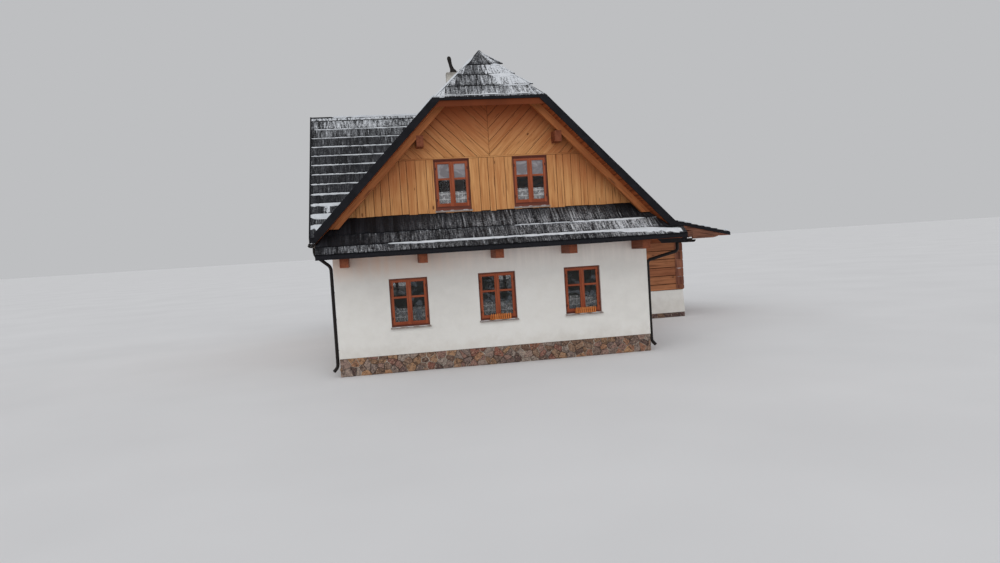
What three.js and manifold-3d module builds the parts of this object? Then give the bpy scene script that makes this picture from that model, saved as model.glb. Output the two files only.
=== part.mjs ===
// A half-hipped mountain farmhouse: plastered ground floor, boarded gables, shingled roofs,
// a cross gable on the west side and a log annex under a lean-to on the east side.
// Millimetres, +X east, +Y north (away from the entrance front), +Z up.
// The origin is the centre of the main block at ground level.
import * as THREE from 'three';
import { mergeVertices } from 'three/addons/utils/BufferGeometryUtils.js';
import Module from 'manifold-3d';

const wasm = await Module();
wasm.setup();

// Driving dimensions of the main block
const HALF_WIDTH = 4200;
const HALF_LENGTH = 6400;
const WALL = 450;
const BASE_TOP = 472;
const WALL_TOP = 3080;
const GABLE_WALL = 160;
const FLOOR_THICKNESS = 40;

// Clearance between faces that meet at a slope, and between a piece and its socket
const GAP = 0.3;
const MITRE_GAP = 1;

// How far a cutting body runs past the faces it cuts, and past the edges of a roof
const HOLE_REACH = 20;
const SPACE_REACH = 1000;

// Main roof
const RIDGE_Z = 8370;
const MAIN_SLOPE = Math.tan(THREE.MathUtils.degToRad(46));
const ROOF_DEPTH = 216;
const WEST_EAVE = 4540;
const EAST_EAVE = 5050;
const VERGE = 7210;
const HIP_EAVE_Z = 6900;
const HIP_SLOPE = Math.tan(THREE.MathUtils.degToRad(48.5));

// Cross gable on the west side
const WING_RIDGE_Z = 7800;
const WING_SLOPE = Math.tan(THREE.MathUtils.degToRad(47));
const WING_VERGE = 4930;

// Boards and rafters along the verges
const BARGE_THICKNESS = 40;
const BARGE_DEPTH = 215;
const HIP_BARGE_DEPTH = 62;
const RAFTER_SET_BACK = 350;
const RAFTER_WIDTH = 120;
const RAFTER_LOW = 457;
const RAFTER_FOOT_Z = 3800;
const HIP_PLATE_DEPTH = 195;
const BARGE_EAST_END = 4800;

// Purlins that carry the verge rafters
const PURLIN_X = 1800;
const PURLIN_WIDTH = 180;
const PURLIN_DEPTH = 280;

// Floor beams, whose ends carry the pent roofs
const BEAM_X = [-3880, -1930, 0, 1920, 3890];
const BEAM_WIDTH = 210;
const BEAM_DEPTH = 250;
const BEAM_END = 7290;

// Pent roofs over the ground floor, front and rear
const PENT_TOP_Z = 4080;
const PENT_EAVE = 7500;
const PENT_EAVE_Z = 3140;
const PENT_DEPTH = 62;
const PENT_SLOPE = (PENT_TOP_Z - PENT_EAVE_Z) / (PENT_EAVE - HALF_LENGTH);
const PENT_WEST = 4540;
const PENT_EAST = 4950;

// Annex and its lean-to
const ANNEX_SOUTH = 1200;
const ANNEX_NORTH = 5600;
const ANNEX_EAST = 8380;
const ANNEX_STONE_TOP = 180;
const ANNEX_PLASTER_TOP = 1042;
const ANNEX_SPREAD = 55;
const ANNEX_WALL = 220;
const LOG_FIRST_JOINT = 1275;
const LOG_HEIGHT = 319;
const LOG_GROOVE = 22;
const LEAN_SOUTH = 0;
const LEAN_NORTH = 6200;
const LEAN_EAST = 9840;
const LEAN_EAVE_Z = 3120;
const LEAN_SLOPE = 0.25;
const LEAN_DEPTH = 110;

// Windows: width, height and sill height of the opening, and the frame set in it
const WINDOW = { width: 1000, sill: 1170, head: 2450 };
const FRONT_WINDOW_X = [-2315, 22, 2355];
const REAR_WINDOW_X = [-2330, 2340];
const GABLE_WINDOW = { width: 930, sill: 4180, head: 5455 };
const GABLE_WINDOW_X = [-1000, 1088];
const SIDE_WINDOW_Y = [-2600, 2600];
const EAST_WINDOW_Y = -4300;
const FRAME_DEPTH = 70;
const FRAME_BAR = 70;
const PANE = 16;
const WINDOW_SET_BACK = 60;
const GABLE_SET_BACK = 10;
const SILL_REACH = 60;
const SILL_DEPTH = 30;

// Door on the east side
const DOOR = { y: -1900, width: 960, sill: 512, top: 2540, thickness: 50, setBack: 150 };

// Chimney
const CHIMNEY = { x: 0, y: 1200, half: 180, top: 9440 };
const COWL_PLATE = { west: -60, east: 245, half: 155, thickness: 30 };
const COWL_SEGMENTS = 14;
// Height, middle in X and radius of the cowl's leaning pipe, ring by ring
const COWL_RINGS = [
  [9455, 92, 128], [9540, 84, 112], [9600, 50, 78], [9690, 14, 66], [9780, -8, 62],
  [9860, -24, 68], [9950, -37, 76], [10010, -43, 65], [10043, -45, 34],
];

// Gutters and downpipes
const GUTTER = { radius: 65, wall: 6, eastX: 5140, eastZ: 2990, westX: 4640, westZ: 3430 };
const GUTTER_FRONT = 7400;
const GUTTER_EAST_END = -5400;
const GUTTER_STOP = 50;
const GUTTER_STEPS = 10;
const PIPE_RADIUS = 45;
const PIPE_BEND = 90;
const PIPE_STEPS = 60;
const PIPE_CLEAR = 12;
const PIPE_SIDES = 5;
const PIPE_Y = -6300;
const PIPE_KNEES = { east: [2700, 2490], west: [3180, 2860] };
const PIPE_SHOE_Z = 260;
const PIPE_KICK = 110;
const PIPE_CLIP_Z = [700, 1500, 2200];
const CLIP_HALF = 15;
const STRAP_PITCH = 1200;
const STRAP_LOW = -10;
const STRAP_HIGH = 40;

const COLOURS = {
  plaster: { color: 0xc4c1bb, roughness: 0.9, metalness: 0 },
  stone: { color: 0x6e5c4e, roughness: 0.95, metalness: 0 },
  boards: { color: 0xb48250, roughness: 0.75, metalness: 0 },
  timber: { color: 0xa5602f, roughness: 0.75, metalness: 0 },
  shingle: { color: 0x24252a, roughness: 0.85, metalness: 0 },
  barge: { color: 0x1c1d21, roughness: 0.7, metalness: 0 },
  frame: { color: 0x78402a, roughness: 0.6, metalness: 0 },
  logs: { color: 0xa5643c, roughness: 0.8, metalness: 0 },
  metal: { color: 0x2a2422, roughness: 0.45, metalness: 0.8 },
};

const house = new THREE.Group();

// Adds one named piece to the house
function place(name, geometry, colour) {
  const solid = geometry.index ? geometry.toNonIndexed() : geometry;
  solid.computeVertexNormals();
  const mesh = new THREE.Mesh(solid, new THREE.MeshStandardMaterial(COLOURS[colour]));
  mesh.name = name;
  house.add(mesh);
  return mesh;
}

// Heights of the upper faces of the roofs
const mainTop = (x) => RIDGE_Z - MAIN_SLOPE * Math.abs(x);
const wingTop = (y) => WING_RIDGE_Z - WING_SLOPE * Math.abs(y);
const hipTop = (y) => HIP_EAVE_Z + HIP_SLOPE * (VERGE - Math.abs(y));
const pentTop = (y) => PENT_TOP_Z - PENT_SLOPE * (Math.abs(y) - HALF_LENGTH);
const leanTop = (x) => LEAN_EAVE_Z + LEAN_SLOPE * (LEAN_EAST - x);

// Distance from the ridge at which a roof reaches a height
const mainReach = (z) => (RIDGE_Z - z) / MAIN_SLOPE;
const wingReach = (z) => (WING_RIDGE_Z - z) / WING_SLOPE;

function boxGeometry(x0, x1, y0, y1, z0, z1) {
  const geometry = new THREE.BoxGeometry(x1 - x0, y1 - y0, z1 - z0);
  return geometry.translate((x0 + x1) / 2, (y0 + y1) / 2, (z0 + z1) / 2);
}

function outline(points) {
  return new THREE.Shape(points.map(([a, b]) => new THREE.Vector2(a, b)));
}

function rectangle(a0, a1, b0, b1) {
  return [[a0, b0], [a1, b0], [a1, b1], [a0, b1]];
}

function extrude(points, depth) {
  return new THREE.ExtrudeGeometry(outline(points), { depth, bevelEnabled: false });
}

// An outline drawn in X and Z, run along Y
function alongY(points, y0, y1, holes = []) {
  const body = extrude(points, y1 - y0).rotateX(Math.PI / 2).translate(0, y1, 0);
  return cut(body, holes.map((hole) => alongY(hole, y0 - HOLE_REACH, y1 + HOLE_REACH)));
}

// An outline drawn in Y and Z, run along X
function alongX(points, x0, x1, holes = []) {
  const turn = new THREE.Matrix4().makeBasis(
    new THREE.Vector3(0, 1, 0), new THREE.Vector3(0, 0, 1), new THREE.Vector3(1, 0, 0),
  );
  const body = extrude(points, x1 - x0).applyMatrix4(turn).translate(x0, 0, 0);
  return cut(body, holes.map((hole) => alongX(hole, x0 - HOLE_REACH, x1 + HOLE_REACH)));
}

// A sloping slab: its outline in plan, with its upper face on a roof plane and plumb edges
function roofSlab(plan, top, depth) {
  const geometry = extrude(plan, 1);
  const position = geometry.attributes.position;
  for (let i = 0; i < position.count; i += 1) {
    const height = top(position.getX(i), position.getY(i));
    position.setZ(i, height - (1 - position.getZ(i)) * depth);
  }
  return geometry;
}

function toSolid(geometry) {
  const bare = geometry.clone();
  bare.deleteAttribute('normal');
  bare.deleteAttribute('uv');
  const merged = mergeVertices(bare, 1e-3);
  return new wasm.Manifold(new wasm.Mesh({
    numProp: 3,
    vertProperties: new Float32Array(merged.attributes.position.array),
    triVerts: new Uint32Array(merged.index.array),
  }));
}

function toGeometry(solid) {
  const mesh = solid.getMesh();
  const geometry = new THREE.BufferGeometry();
  geometry.setAttribute('position', new THREE.BufferAttribute(mesh.vertProperties, 3));
  geometry.setIndex(new THREE.BufferAttribute(mesh.triVerts, 1));
  return geometry;
}

function cut(geometry, tools) {
  if (tools.length === 0) return geometry;
  return toGeometry(tools.reduce((solid, tool) => solid.subtract(toSolid(tool)), toSolid(geometry)));
}

function join(pieces) {
  return toGeometry(pieces.map(toSolid).reduce((whole, piece) => whole.add(piece)));
}

const mirrorPlan = (plan) => plan.map(([x, y]) => [x, -y]);

function windowHole(opening, centre) {
  const half = opening.width / 2;
  return rectangle(centre - half, centre + half, opening.sill, opening.head);
}

function makeBases() {
  const main = boxGeometry(-HALF_WIDTH, HALF_WIDTH, -HALF_LENGTH, HALF_LENGTH, 0, BASE_TOP);
  place('stone_base', main, 'stone');
  const foot = ANNEX_EAST + ANNEX_SPREAD;
  const annex = boxGeometry(HALF_WIDTH, foot, ANNEX_SOUTH, ANNEX_NORTH, 0, ANNEX_STONE_TOP);
  place('annex_stone_base', annex, 'stone');
}

// Front or rear wall of the ground floor, notched at its top for the floor beams
function makeEndWall(name, side, windows) {
  const top = [];
  for (const x of [...BEAM_X].reverse()) {
    const [east, west] = [x + BEAM_WIDTH / 2, x - BEAM_WIDTH / 2];
    const seat = WALL_TOP - BEAM_DEPTH;
    top.push([east, WALL_TOP], [east, seat], [west, seat], [west, WALL_TOP]);
  }
  const points = [
    [-HALF_WIDTH, BASE_TOP], [HALF_WIDTH, BASE_TOP], [HALF_WIDTH, WALL_TOP],
    ...top, [-HALF_WIDTH, WALL_TOP],
  ];
  const holes = windows.map((x) => windowHole(WINDOW, x));
  const faces = [side * HALF_LENGTH, side * (HALF_LENGTH - WALL)].sort((a, b) => a - b);
  place(name, alongY(points, faces[0], faces[1], holes), 'plaster');
}

// The space above the underside of the main roof, used to trim what meets it
function aboveMainRoof(underside) {
  const high = RIDGE_Z + SPACE_REACH;
  const far = HALF_WIDTH + SPACE_REACH;
  const low = mainTop(far) - underside;
  const points = [
    [-far, low], [0, RIDGE_Z - underside], [far, low], [far, high], [-far, high],
  ];
  return alongY(points, -VERGE, VERGE);
}

function beamGeometry(x, y0, y1) {
  const half = BEAM_WIDTH / 2;
  return boxGeometry(x - half, x + half, y0, y1, WALL_TOP - BEAM_DEPTH, WALL_TOP);
}

// West or east wall: it rises to the roof, and on the west it stops under the cross gable.
// The outermost floor beam is built into its inner face.
function makeSideWall(name, side, holes) {
  const inner = HALF_LENGTH - WALL;
  const upper = HALF_LENGTH - GABLE_WALL - GAP;
  const high = mainTop(HALF_WIDTH - WALL);
  const wing = wingReach(mainTop(HALF_WIDTH)) + GAP;
  const notch = side < 0
    ? [[wing, high], [wing, WALL_TOP], [-wing, WALL_TOP], [-wing, high]]
    : [];
  const points = [
    [-inner, BASE_TOP], [inner, BASE_TOP], [inner, WALL_TOP], [upper, WALL_TOP], [upper, high],
    ...notch, [-upper, high], [-upper, WALL_TOP], [-inner, WALL_TOP],
  ];
  const faces = [side * HALF_WIDTH, side * (HALF_WIDTH - WALL)].sort((a, b) => a - b);
  const wall = alongX(points, faces[0], faces[1], holes);
  const beam = beamGeometry(side < 0 ? BEAM_X[0] : BEAM_X[BEAM_X.length - 1], -VERGE, VERGE);
  place(name, cut(wall, [aboveMainRoof(ROOF_DEPTH + GAP), beam]), 'plaster');
}

function makeWalls() {
  makeEndWall('front_wall', -1, FRONT_WINDOW_X);
  makeEndWall('rear_wall', 1, REAR_WINDOW_X);
  makeSideWall('west_wall', -1, SIDE_WINDOW_Y.map((y) => windowHole(WINDOW, y)));
  const half = DOOR.width / 2;
  const doorway = rectangle(DOOR.y - half, DOOR.y + half, DOOR.sill, DOOR.top);
  makeSideWall('east_wall', 1, [windowHole(WINDOW, EAST_WINDOW_Y), doorway]);
}

const purlinTop = () => mainTop(PURLIN_X) - RAFTER_LOW;

// One purlin out to its ends, grown all round by a clearance
function purlinGeometry(hand, clear = 0) {
  const half = PURLIN_WIDTH / 2 + clear;
  const end = VERGE - RAFTER_SET_BACK + clear;
  const top = purlinTop();
  return boxGeometry(
    hand * PURLIN_X - half, hand * PURLIN_X + half, -end, end, top - PURLIN_DEPTH - clear, top + clear,
  );
}

// Boarded gable over the front or rear wall, up to the slopes and the half hip
function makeGable(name, side, windows) {
  const under = ROOF_DEPTH + GAP;
  const shoulder = mainTop(HALF_WIDTH) - under;
  const top = hipTop(HALF_LENGTH) - ROOF_DEPTH - GAP;
  const neck = mainReach(top + under);
  const points = [
    [-HALF_WIDTH, WALL_TOP], [HALF_WIDTH, WALL_TOP], [HALF_WIDTH, shoulder],
    [neck, top], [-neck, top], [-HALF_WIDTH, shoulder],
  ];
  const purlinHoles = [-1, 1].map((hand) => rectangle(
    hand * PURLIN_X - PURLIN_WIDTH / 2 - GAP, hand * PURLIN_X + PURLIN_WIDTH / 2 + GAP,
    purlinTop() - PURLIN_DEPTH, purlinTop() + GAP,
  ));
  const holes = [...windows.map((x) => windowHole(GABLE_WINDOW, x)), ...purlinHoles];
  const faces = [side * HALF_LENGTH, side * (HALF_LENGTH - GABLE_WALL)].sort((a, b) => a - b);
  place(name, alongY(points, faces[0], faces[1], holes), 'boards');
}

function makeWestGable() {
  const under = ROOF_DEPTH + GAP;
  const reach = wingReach(mainTop(HALF_WIDTH));
  const shoulder = wingTop(reach) - under;
  const points = [
    [-reach, WALL_TOP], [reach, WALL_TOP], [reach, shoulder],
    [0, WING_RIDGE_Z - under], [-reach, shoulder],
  ];
  const holes = [windowHole(GABLE_WINDOW, 0)];
  place('west_gable_wall', alongX(points, -HALF_WIDTH, GABLE_WALL - HALF_WIDTH, holes), 'boards');
}

// The middle beam is in two lengths, one on each side of the chimney
function makeFloor() {
  const middle = BEAM_X.indexOf(CHIMNEY.x);
  BEAM_X.forEach((x, i) => {
    if (i !== middle) {
      place(`floor_beam_${i + 1}`, beamGeometry(x, -BEAM_END, BEAM_END), 'timber');
    }
  });
  const front = beamGeometry(CHIMNEY.x, -BEAM_END, CHIMNEY.y - CHIMNEY.half);
  const rear = beamGeometry(CHIMNEY.x, CHIMNEY.y + CHIMNEY.half, BEAM_END);
  place(`floor_beam_${middle + 1}_front`, front, 'timber');
  place(`floor_beam_${middle + 1}_rear`, rear, 'timber');
  const x = HALF_WIDTH - WALL;
  const y = HALF_LENGTH - GABLE_WALL;
  const hole = rectangle(
    CHIMNEY.x - CHIMNEY.half, CHIMNEY.x + CHIMNEY.half,
    CHIMNEY.y - CHIMNEY.half, CHIMNEY.y + CHIMNEY.half,
  );
  const floor = extrude(rectangle(-x, x, -y, y), FLOOR_THICKNESS);
  const shaft = extrude(hole, FLOOR_THICKNESS + 2 * HOLE_REACH).translate(0, 0, -HOLE_REACH);
  place('upper_floor', cut(floor, [shaft]).translate(0, 0, WALL_TOP), 'timber');
}

function makeMainRoof() {
  const apex = VERGE - (RIDGE_Z - HIP_EAVE_Z) / HIP_SLOPE;
  const corner = mainReach(HIP_EAVE_Z);
  const valleyTop = mainReach(WING_RIDGE_Z);
  const valleyFoot = wingReach(mainTop(WEST_EAVE));
  const hole = CHIMNEY.half + MITRE_GAP;
  const chimneySide = (hand) => [
    [hand * GAP, CHIMNEY.y + hole], [hand * hole, CHIMNEY.y + hole],
    [hand * hole, CHIMNEY.y - hole], [hand * GAP, CHIMNEY.y - hole],
  ];
  const west = [
    [-GAP, -apex], [-corner, -VERGE], [-WEST_EAVE, -VERGE], [-WEST_EAVE, -valleyFoot],
    [-valleyTop, 0], [-WEST_EAVE, valleyFoot], [-WEST_EAVE, VERGE], [-corner, VERGE],
    [-GAP, apex], ...chimneySide(-1),
  ];
  const east = [
    [GAP, -apex], [corner, -VERGE], [EAST_EAVE, -VERGE], [EAST_EAVE, VERGE], [corner, VERGE],
    [GAP, apex], ...chimneySide(1),
  ];
  place('main_roof_west', roofSlab(west, mainTop, ROOF_DEPTH), 'shingle');
  place('main_roof_east', roofSlab(east, mainTop, ROOF_DEPTH), 'shingle');

  const hip = [
    [0, -apex - MITRE_GAP], [-corner + MITRE_GAP, -VERGE], [corner - MITRE_GAP, -VERGE],
  ];
  const hipPlane = (x, y) => hipTop(y);
  place('front_half_hip', roofSlab(hip, hipPlane, ROOF_DEPTH), 'shingle');
  place('rear_half_hip', roofSlab(mirrorPlan(hip), hipPlane, ROOF_DEPTH), 'shingle');

  const wing = [
    [-valleyTop - MITRE_GAP, -GAP], [-WEST_EAVE - MITRE_GAP, -valleyFoot],
    [-WING_VERGE, -valleyFoot], [-WING_VERGE, -GAP],
  ];
  const wingPlane = (x, y) => wingTop(y);
  place('cross_gable_roof_south', roofSlab(wing, wingPlane, ROOF_DEPTH), 'shingle');
  place('cross_gable_roof_north', roofSlab(mirrorPlan(wing), wingPlane, ROOF_DEPTH), 'shingle');
}

// Each pent roof leans on the gable, rests on the beam ends and dies under the main slopes
function makePentRoofs() {
  const under = ROOF_DEPTH + MITRE_GAP;
  const reach = (y) => mainReach(pentTop(y) + under);
  const westFoot = HALF_LENGTH + (PENT_TOP_Z - (mainTop(PENT_WEST) - under)) / PENT_SLOPE;
  const front = [
    [-PENT_WEST, -PENT_EAVE], [PENT_EAST, -PENT_EAVE], [PENT_EAST, -VERGE - GAP],
    [reach(VERGE), -VERGE - GAP], [reach(HALF_LENGTH), -HALF_LENGTH - GAP],
    [-reach(HALF_LENGTH), -HALF_LENGTH - GAP], [-PENT_WEST, -westFoot],
  ];
  const plane = (x, y) => pentTop(y);
  place('front_pent_roof', roofSlab(front, plane, PENT_DEPTH), 'shingle');
  place('rear_pent_roof', roofSlab(mirrorPlan(front), plane, PENT_DEPTH), 'shingle');
}

// Boards that close the edge of the roof at the verge and along the eave of the half hip
function makeBarge(name, side) {
  const corner = mainReach(HIP_EAVE_Z);
  const foot = pentTop(VERGE) + MITRE_GAP;
  const footReach = mainReach(foot + BARGE_DEPTH);
  const westTop = mainTop(WEST_EAVE);
  const hipLow = HIP_EAVE_Z - HIP_BARGE_DEPTH;
  const innerCorner = mainReach(hipLow + BARGE_DEPTH);
  const points = [
    [-WEST_EAVE, westTop - BARGE_DEPTH], [-innerCorner, hipLow], [innerCorner, hipLow],
    [footReach, foot], [BARGE_EAST_END, foot], [BARGE_EAST_END, mainTop(BARGE_EAST_END)],
    [corner, HIP_EAVE_Z], [-corner, HIP_EAVE_Z], [-WEST_EAVE, westTop],
  ];
  const faces = [side * (VERGE + GAP), side * (VERGE + BARGE_THICKNESS)].sort((a, b) => a - b);
  place(name, alongY(points, faces[0], faces[1]), 'barge');
}

// Rafters notched over the purlins, joined under the half hip by a plate
function makeVergeFrame(name, side) {
  const under = ROOF_DEPTH + GAP;
  const face = VERGE - RAFTER_SET_BACK;
  const plateTop = hipTop(face) - under;
  const plateLow = plateTop - HIP_PLATE_DEPTH;
  const outer = mainReach(RAFTER_FOOT_Z + under);
  const inner = mainReach(RAFTER_FOOT_Z + RAFTER_LOW);
  const shoulder = mainReach(plateTop + under);
  const neck = mainReach(plateLow + RAFTER_LOW);
  const half = [
    [shoulder, plateTop], [outer, RAFTER_FOOT_Z], [inner, RAFTER_FOOT_Z], [neck, plateLow],
  ];
  const points = [...half, ...half.map(([x, z]) => [-x, z]).reverse()];
  const faces = [side * face, side * (face - RAFTER_WIDTH)].sort((a, b) => a - b);
  const notches = [-1, 1].map((hand) => purlinGeometry(hand, GAP));
  place(name, cut(alongY(points, faces[0], faces[1]), notches), 'timber');
}

function makeWingVerge() {
  const eave = wingReach(mainTop(WEST_EAVE));
  const board = [
    [0, WING_RIDGE_Z], [-eave, wingTop(eave)], [-eave, wingTop(eave) - BARGE_DEPTH],
    [0, WING_RIDGE_Z - BARGE_DEPTH], [eave, wingTop(eave) - BARGE_DEPTH], [eave, wingTop(eave)],
  ];
  const boards = alongX(board, -WING_VERGE - BARGE_THICKNESS, -WING_VERGE - GAP);
  place('west_bargeboards', boards, 'barge');
  const under = ROOF_DEPTH + GAP;
  const outer = wingReach(RAFTER_FOOT_Z + under);
  const inner = wingReach(RAFTER_FOOT_Z + RAFTER_LOW);
  const rafter = [
    [0, WING_RIDGE_Z - under], [-outer, RAFTER_FOOT_Z], [-inner, RAFTER_FOOT_Z],
    [0, WING_RIDGE_Z - RAFTER_LOW], [inner, RAFTER_FOOT_Z], [outer, RAFTER_FOOT_Z],
  ];
  const face = RAFTER_SET_BACK - WING_VERGE;
  place('west_verge_rafters', alongX(rafter, face, face + RAFTER_WIDTH), 'timber');
}

function makePurlins() {
  place('purlin_west', purlinGeometry(-1), 'timber');
  place('purlin_east', purlinGeometry(1), 'timber');
}

// A casement unit drawn in its own frame: X across, Z up, outer face at Y = 0, looking out to -Y
function windowUnit(opening, setBack) {
  const half = opening.width / 2 - GAP;
  const height = opening.head - opening.sill;
  const bar = FRAME_BAR;
  const holes = [
    rectangle(-half + bar, -bar / 2, bar, height - bar),
    rectangle(bar / 2, half - bar, bar, height - bar),
  ];
  const frame = alongY(rectangle(-half, half, GAP, height - GAP), 0, FRAME_DEPTH, holes);
  const middle = (FRAME_DEPTH - PANE) / 2;
  const pane = boxGeometry(-half + bar / 2, half - bar / 2, middle, middle + PANE,
    bar / 2, height - bar / 2);
  const sill = boxGeometry(-half, half, -setBack - SILL_REACH, FRAME_DEPTH / 2, GAP, SILL_DEPTH);
  return join([frame, pane, sill]);
}

function placeWindow(name, opening, setBack, x, y, turn) {
  const mesh = place(name, windowUnit(opening, setBack), 'frame');
  const inward = new THREE.Vector3(0, setBack, 0).applyAxisAngle(new THREE.Vector3(0, 0, 1), turn);
  mesh.rotation.z = turn;
  mesh.position.set(x + inward.x, y + inward.y, opening.sill);
}

function makeWindows() {
  const names = ['west', 'middle', 'east'];
  FRONT_WINDOW_X.forEach((x, i) => {
    placeWindow(`front_window_${names[i]}`, WINDOW, WINDOW_SET_BACK, x, -HALF_LENGTH, 0);
  });
  GABLE_WINDOW_X.forEach((x, i) => {
    const name = `front_gable_window_${i ? 'east' : 'west'}`;
    placeWindow(name, GABLE_WINDOW, GABLE_SET_BACK, x, -HALF_LENGTH, 0);
  });
  REAR_WINDOW_X.forEach((x, i) => {
    const name = `rear_window_${i ? 'east' : 'west'}`;
    placeWindow(name, WINDOW, WINDOW_SET_BACK, x, HALF_LENGTH, Math.PI);
  });
  placeWindow('rear_gable_window', GABLE_WINDOW, GABLE_SET_BACK, 0, HALF_LENGTH, Math.PI);
  SIDE_WINDOW_Y.forEach((y, i) => {
    const name = `west_window_${i ? 'north' : 'south'}`;
    placeWindow(name, WINDOW, WINDOW_SET_BACK, -HALF_WIDTH, y, -Math.PI / 2);
  });
  placeWindow('west_gable_window', GABLE_WINDOW, GABLE_SET_BACK, -HALF_WIDTH, 0, -Math.PI / 2);
  placeWindow('east_window', WINDOW, WINDOW_SET_BACK, HALF_WIDTH, EAST_WINDOW_Y, Math.PI / 2);
}

function makeDoor() {
  const half = DOOR.width / 2 - GAP;
  const outer = HALF_WIDTH - DOOR.setBack;
  const leaf = boxGeometry(outer - DOOR.thickness, outer, DOOR.y - half, DOOR.y + half,
    DOOR.sill, DOOR.top - GAP);
  place('east_door', leaf, 'frame');
}

// Squared logs laid one on another: the outline of the stack, with a groove at each joint
function logStack(outer, inner, bottom, top) {
  const turn = outer < inner ? -1 : 1;
  const joints = [];
  for (let z = LOG_FIRST_JOINT; z < top - LOG_GROOVE; z += LOG_HEIGHT) joints.push(z);
  const face = (at, into) => joints.flatMap((z) => [
    [at, z - LOG_GROOVE], [at + into * LOG_GROOVE, z], [at, z + LOG_GROOVE],
  ]);
  return [
    [outer, bottom], ...face(outer, -turn), [outer, top],
    [inner, top], ...face(inner, turn).reverse(), [inner, bottom],
  ];
}

// Distance from the main ridge at which the lean-to's upper or lower face meets the main slope
function leanMeet(depth) {
  const rise = RIDGE_Z - LEAN_EAVE_Z - LEAN_SLOPE * LEAN_EAST + depth;
  return rise / (MAIN_SLOPE - LEAN_SLOPE);
}

// The space above the underside of the lean-to
function leanRoofSpace() {
  const near = HALF_WIDTH - SPACE_REACH;
  const far = LEAN_EAST + SPACE_REACH;
  const under = LEAN_DEPTH + GAP;
  const points = [
    [near, leanTop(near) - under], [far, leanTop(far) - under], [far, RIDGE_Z], [near, RIDGE_Z],
  ];
  return alongY(points, LEAN_SOUTH, LEAN_NORTH);
}

// The main block's wall and eave, which the log walls fit round
function mainEaveSpace() {
  const near = HALF_WIDTH - SPACE_REACH;
  const edge = EAST_EAVE + MITRE_GAP;
  const under = ROOF_DEPTH + GAP;
  const points = [
    [near, 0], [HALF_WIDTH, 0], [HALF_WIDTH, mainTop(HALF_WIDTH) - under],
    [edge, mainTop(edge) - under], [edge, mainTop(edge) + GAP], [near, mainTop(near) + GAP],
  ];
  return alongY(points, LEAN_SOUTH, LEAN_NORTH);
}

// Moves the foot of a wall's east face outward, so that the face leans back
function spreadFoot(geometry, east, spread) {
  const position = geometry.attributes.position;
  for (let i = 0; i < position.count; i += 1) {
    if (position.getX(i) === east && position.getZ(i) === 0) position.setX(i, east + spread);
  }
}

function makeAnnex() {
  const [west, east] = [HALF_WIDTH, ANNEX_EAST];
  const [south, north] = [ANNEX_SOUTH, ANNEX_NORTH];
  const plinth = [
    [west, south], [east, south], [east, north], [west, north],
    [west, north - ANNEX_WALL], [east - ANNEX_WALL, north - ANNEX_WALL],
    [east - ANNEX_WALL, south + ANNEX_WALL], [west, south + ANNEX_WALL],
  ];
  const plaster = extrude(plinth, ANNEX_PLASTER_TOP - ANNEX_STONE_TOP);
  spreadFoot(plaster, east, ANNEX_SPREAD);
  place('annex_plaster_wall', plaster.translate(0, 0, ANNEX_STONE_TOP), 'plaster');

  const meet = leanMeet(0);
  const high = leanTop(meet);
  const trim = [leanRoofSpace(), mainEaveSpace()];
  const southLogs = alongX(logStack(south, south + ANNEX_WALL, ANNEX_PLASTER_TOP, high), meet, east);
  place('annex_log_wall_south', cut(southLogs, trim), 'logs');
  const northLogs = alongX(logStack(north, north - ANNEX_WALL, ANNEX_PLASTER_TOP, high), meet, east);
  place('annex_log_wall_north', cut(northLogs, trim), 'logs');
  const eastLogs = alongY(logStack(east, east - ANNEX_WALL, ANNEX_PLASTER_TOP, high),
    south + ANNEX_WALL, north - ANNEX_WALL);
  place('annex_log_wall_east', cut(eastLogs, trim), 'logs');
}

// The lean-to starts on the main slope and runs out over the annex
function makeLeanTo() {
  const meet = leanMeet(0) + MITRE_GAP;
  const underMeet = leanMeet(LEAN_DEPTH + GAP);
  const points = [
    [meet, leanTop(meet)], [underMeet, leanTop(underMeet) - LEAN_DEPTH],
    [LEAN_EAST, LEAN_EAVE_Z - LEAN_DEPTH], [LEAN_EAST, LEAN_EAVE_Z],
  ];
  place('lean_to_roof', alongY(points, LEAN_SOUTH, LEAN_NORTH), 'shingle');
}

// A round pipe whose rings each have their own middle and radius
function leaningPipe(rings, y, segments) {
  const profile = rings.map(([z, , radius]) => [radius, z]);
  const round = wasm.Manifold.revolve([[[0, rings[0][0]], ...profile, [0, rings.at(-1)[0]]]], segments);
  const lean = (point) => {
    point[0] += rings.find(([z]) => Math.abs(z - point[2]) < 1)[1];
    point[1] += y;
  };
  return toGeometry(round.warp(lean));
}

function makeChimney() {
  const { x, y, half, top } = CHIMNEY;
  place('chimney_stack', boxGeometry(x - half, x + half, y - half, y + half, BASE_TOP, top), 'stone');
  const plate = boxGeometry(COWL_PLATE.west, COWL_PLATE.east, y - COWL_PLATE.half,
    y + COWL_PLATE.half, top, top + COWL_PLATE.thickness);
  place('chimney_cowl', join([plate, leaningPipe(COWL_RINGS, y, COWL_SEGMENTS)]), 'metal');
}

// Half-round trough drawn in X and Z around its centre
function troughOutline(x, z) {
  const arc = (radius, sweep) => sweep.map((turn) => [
    x + radius * Math.cos(turn), z + radius * Math.sin(turn),
  ]);
  const down = Array.from({ length: GUTTER_STEPS + 1 },
    (_, i) => Math.PI + (Math.PI * i) / GUTTER_STEPS);
  return [...arc(GUTTER.radius, down), ...arc(GUTTER.radius - GUTTER.wall, down).reverse()];
}

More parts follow.
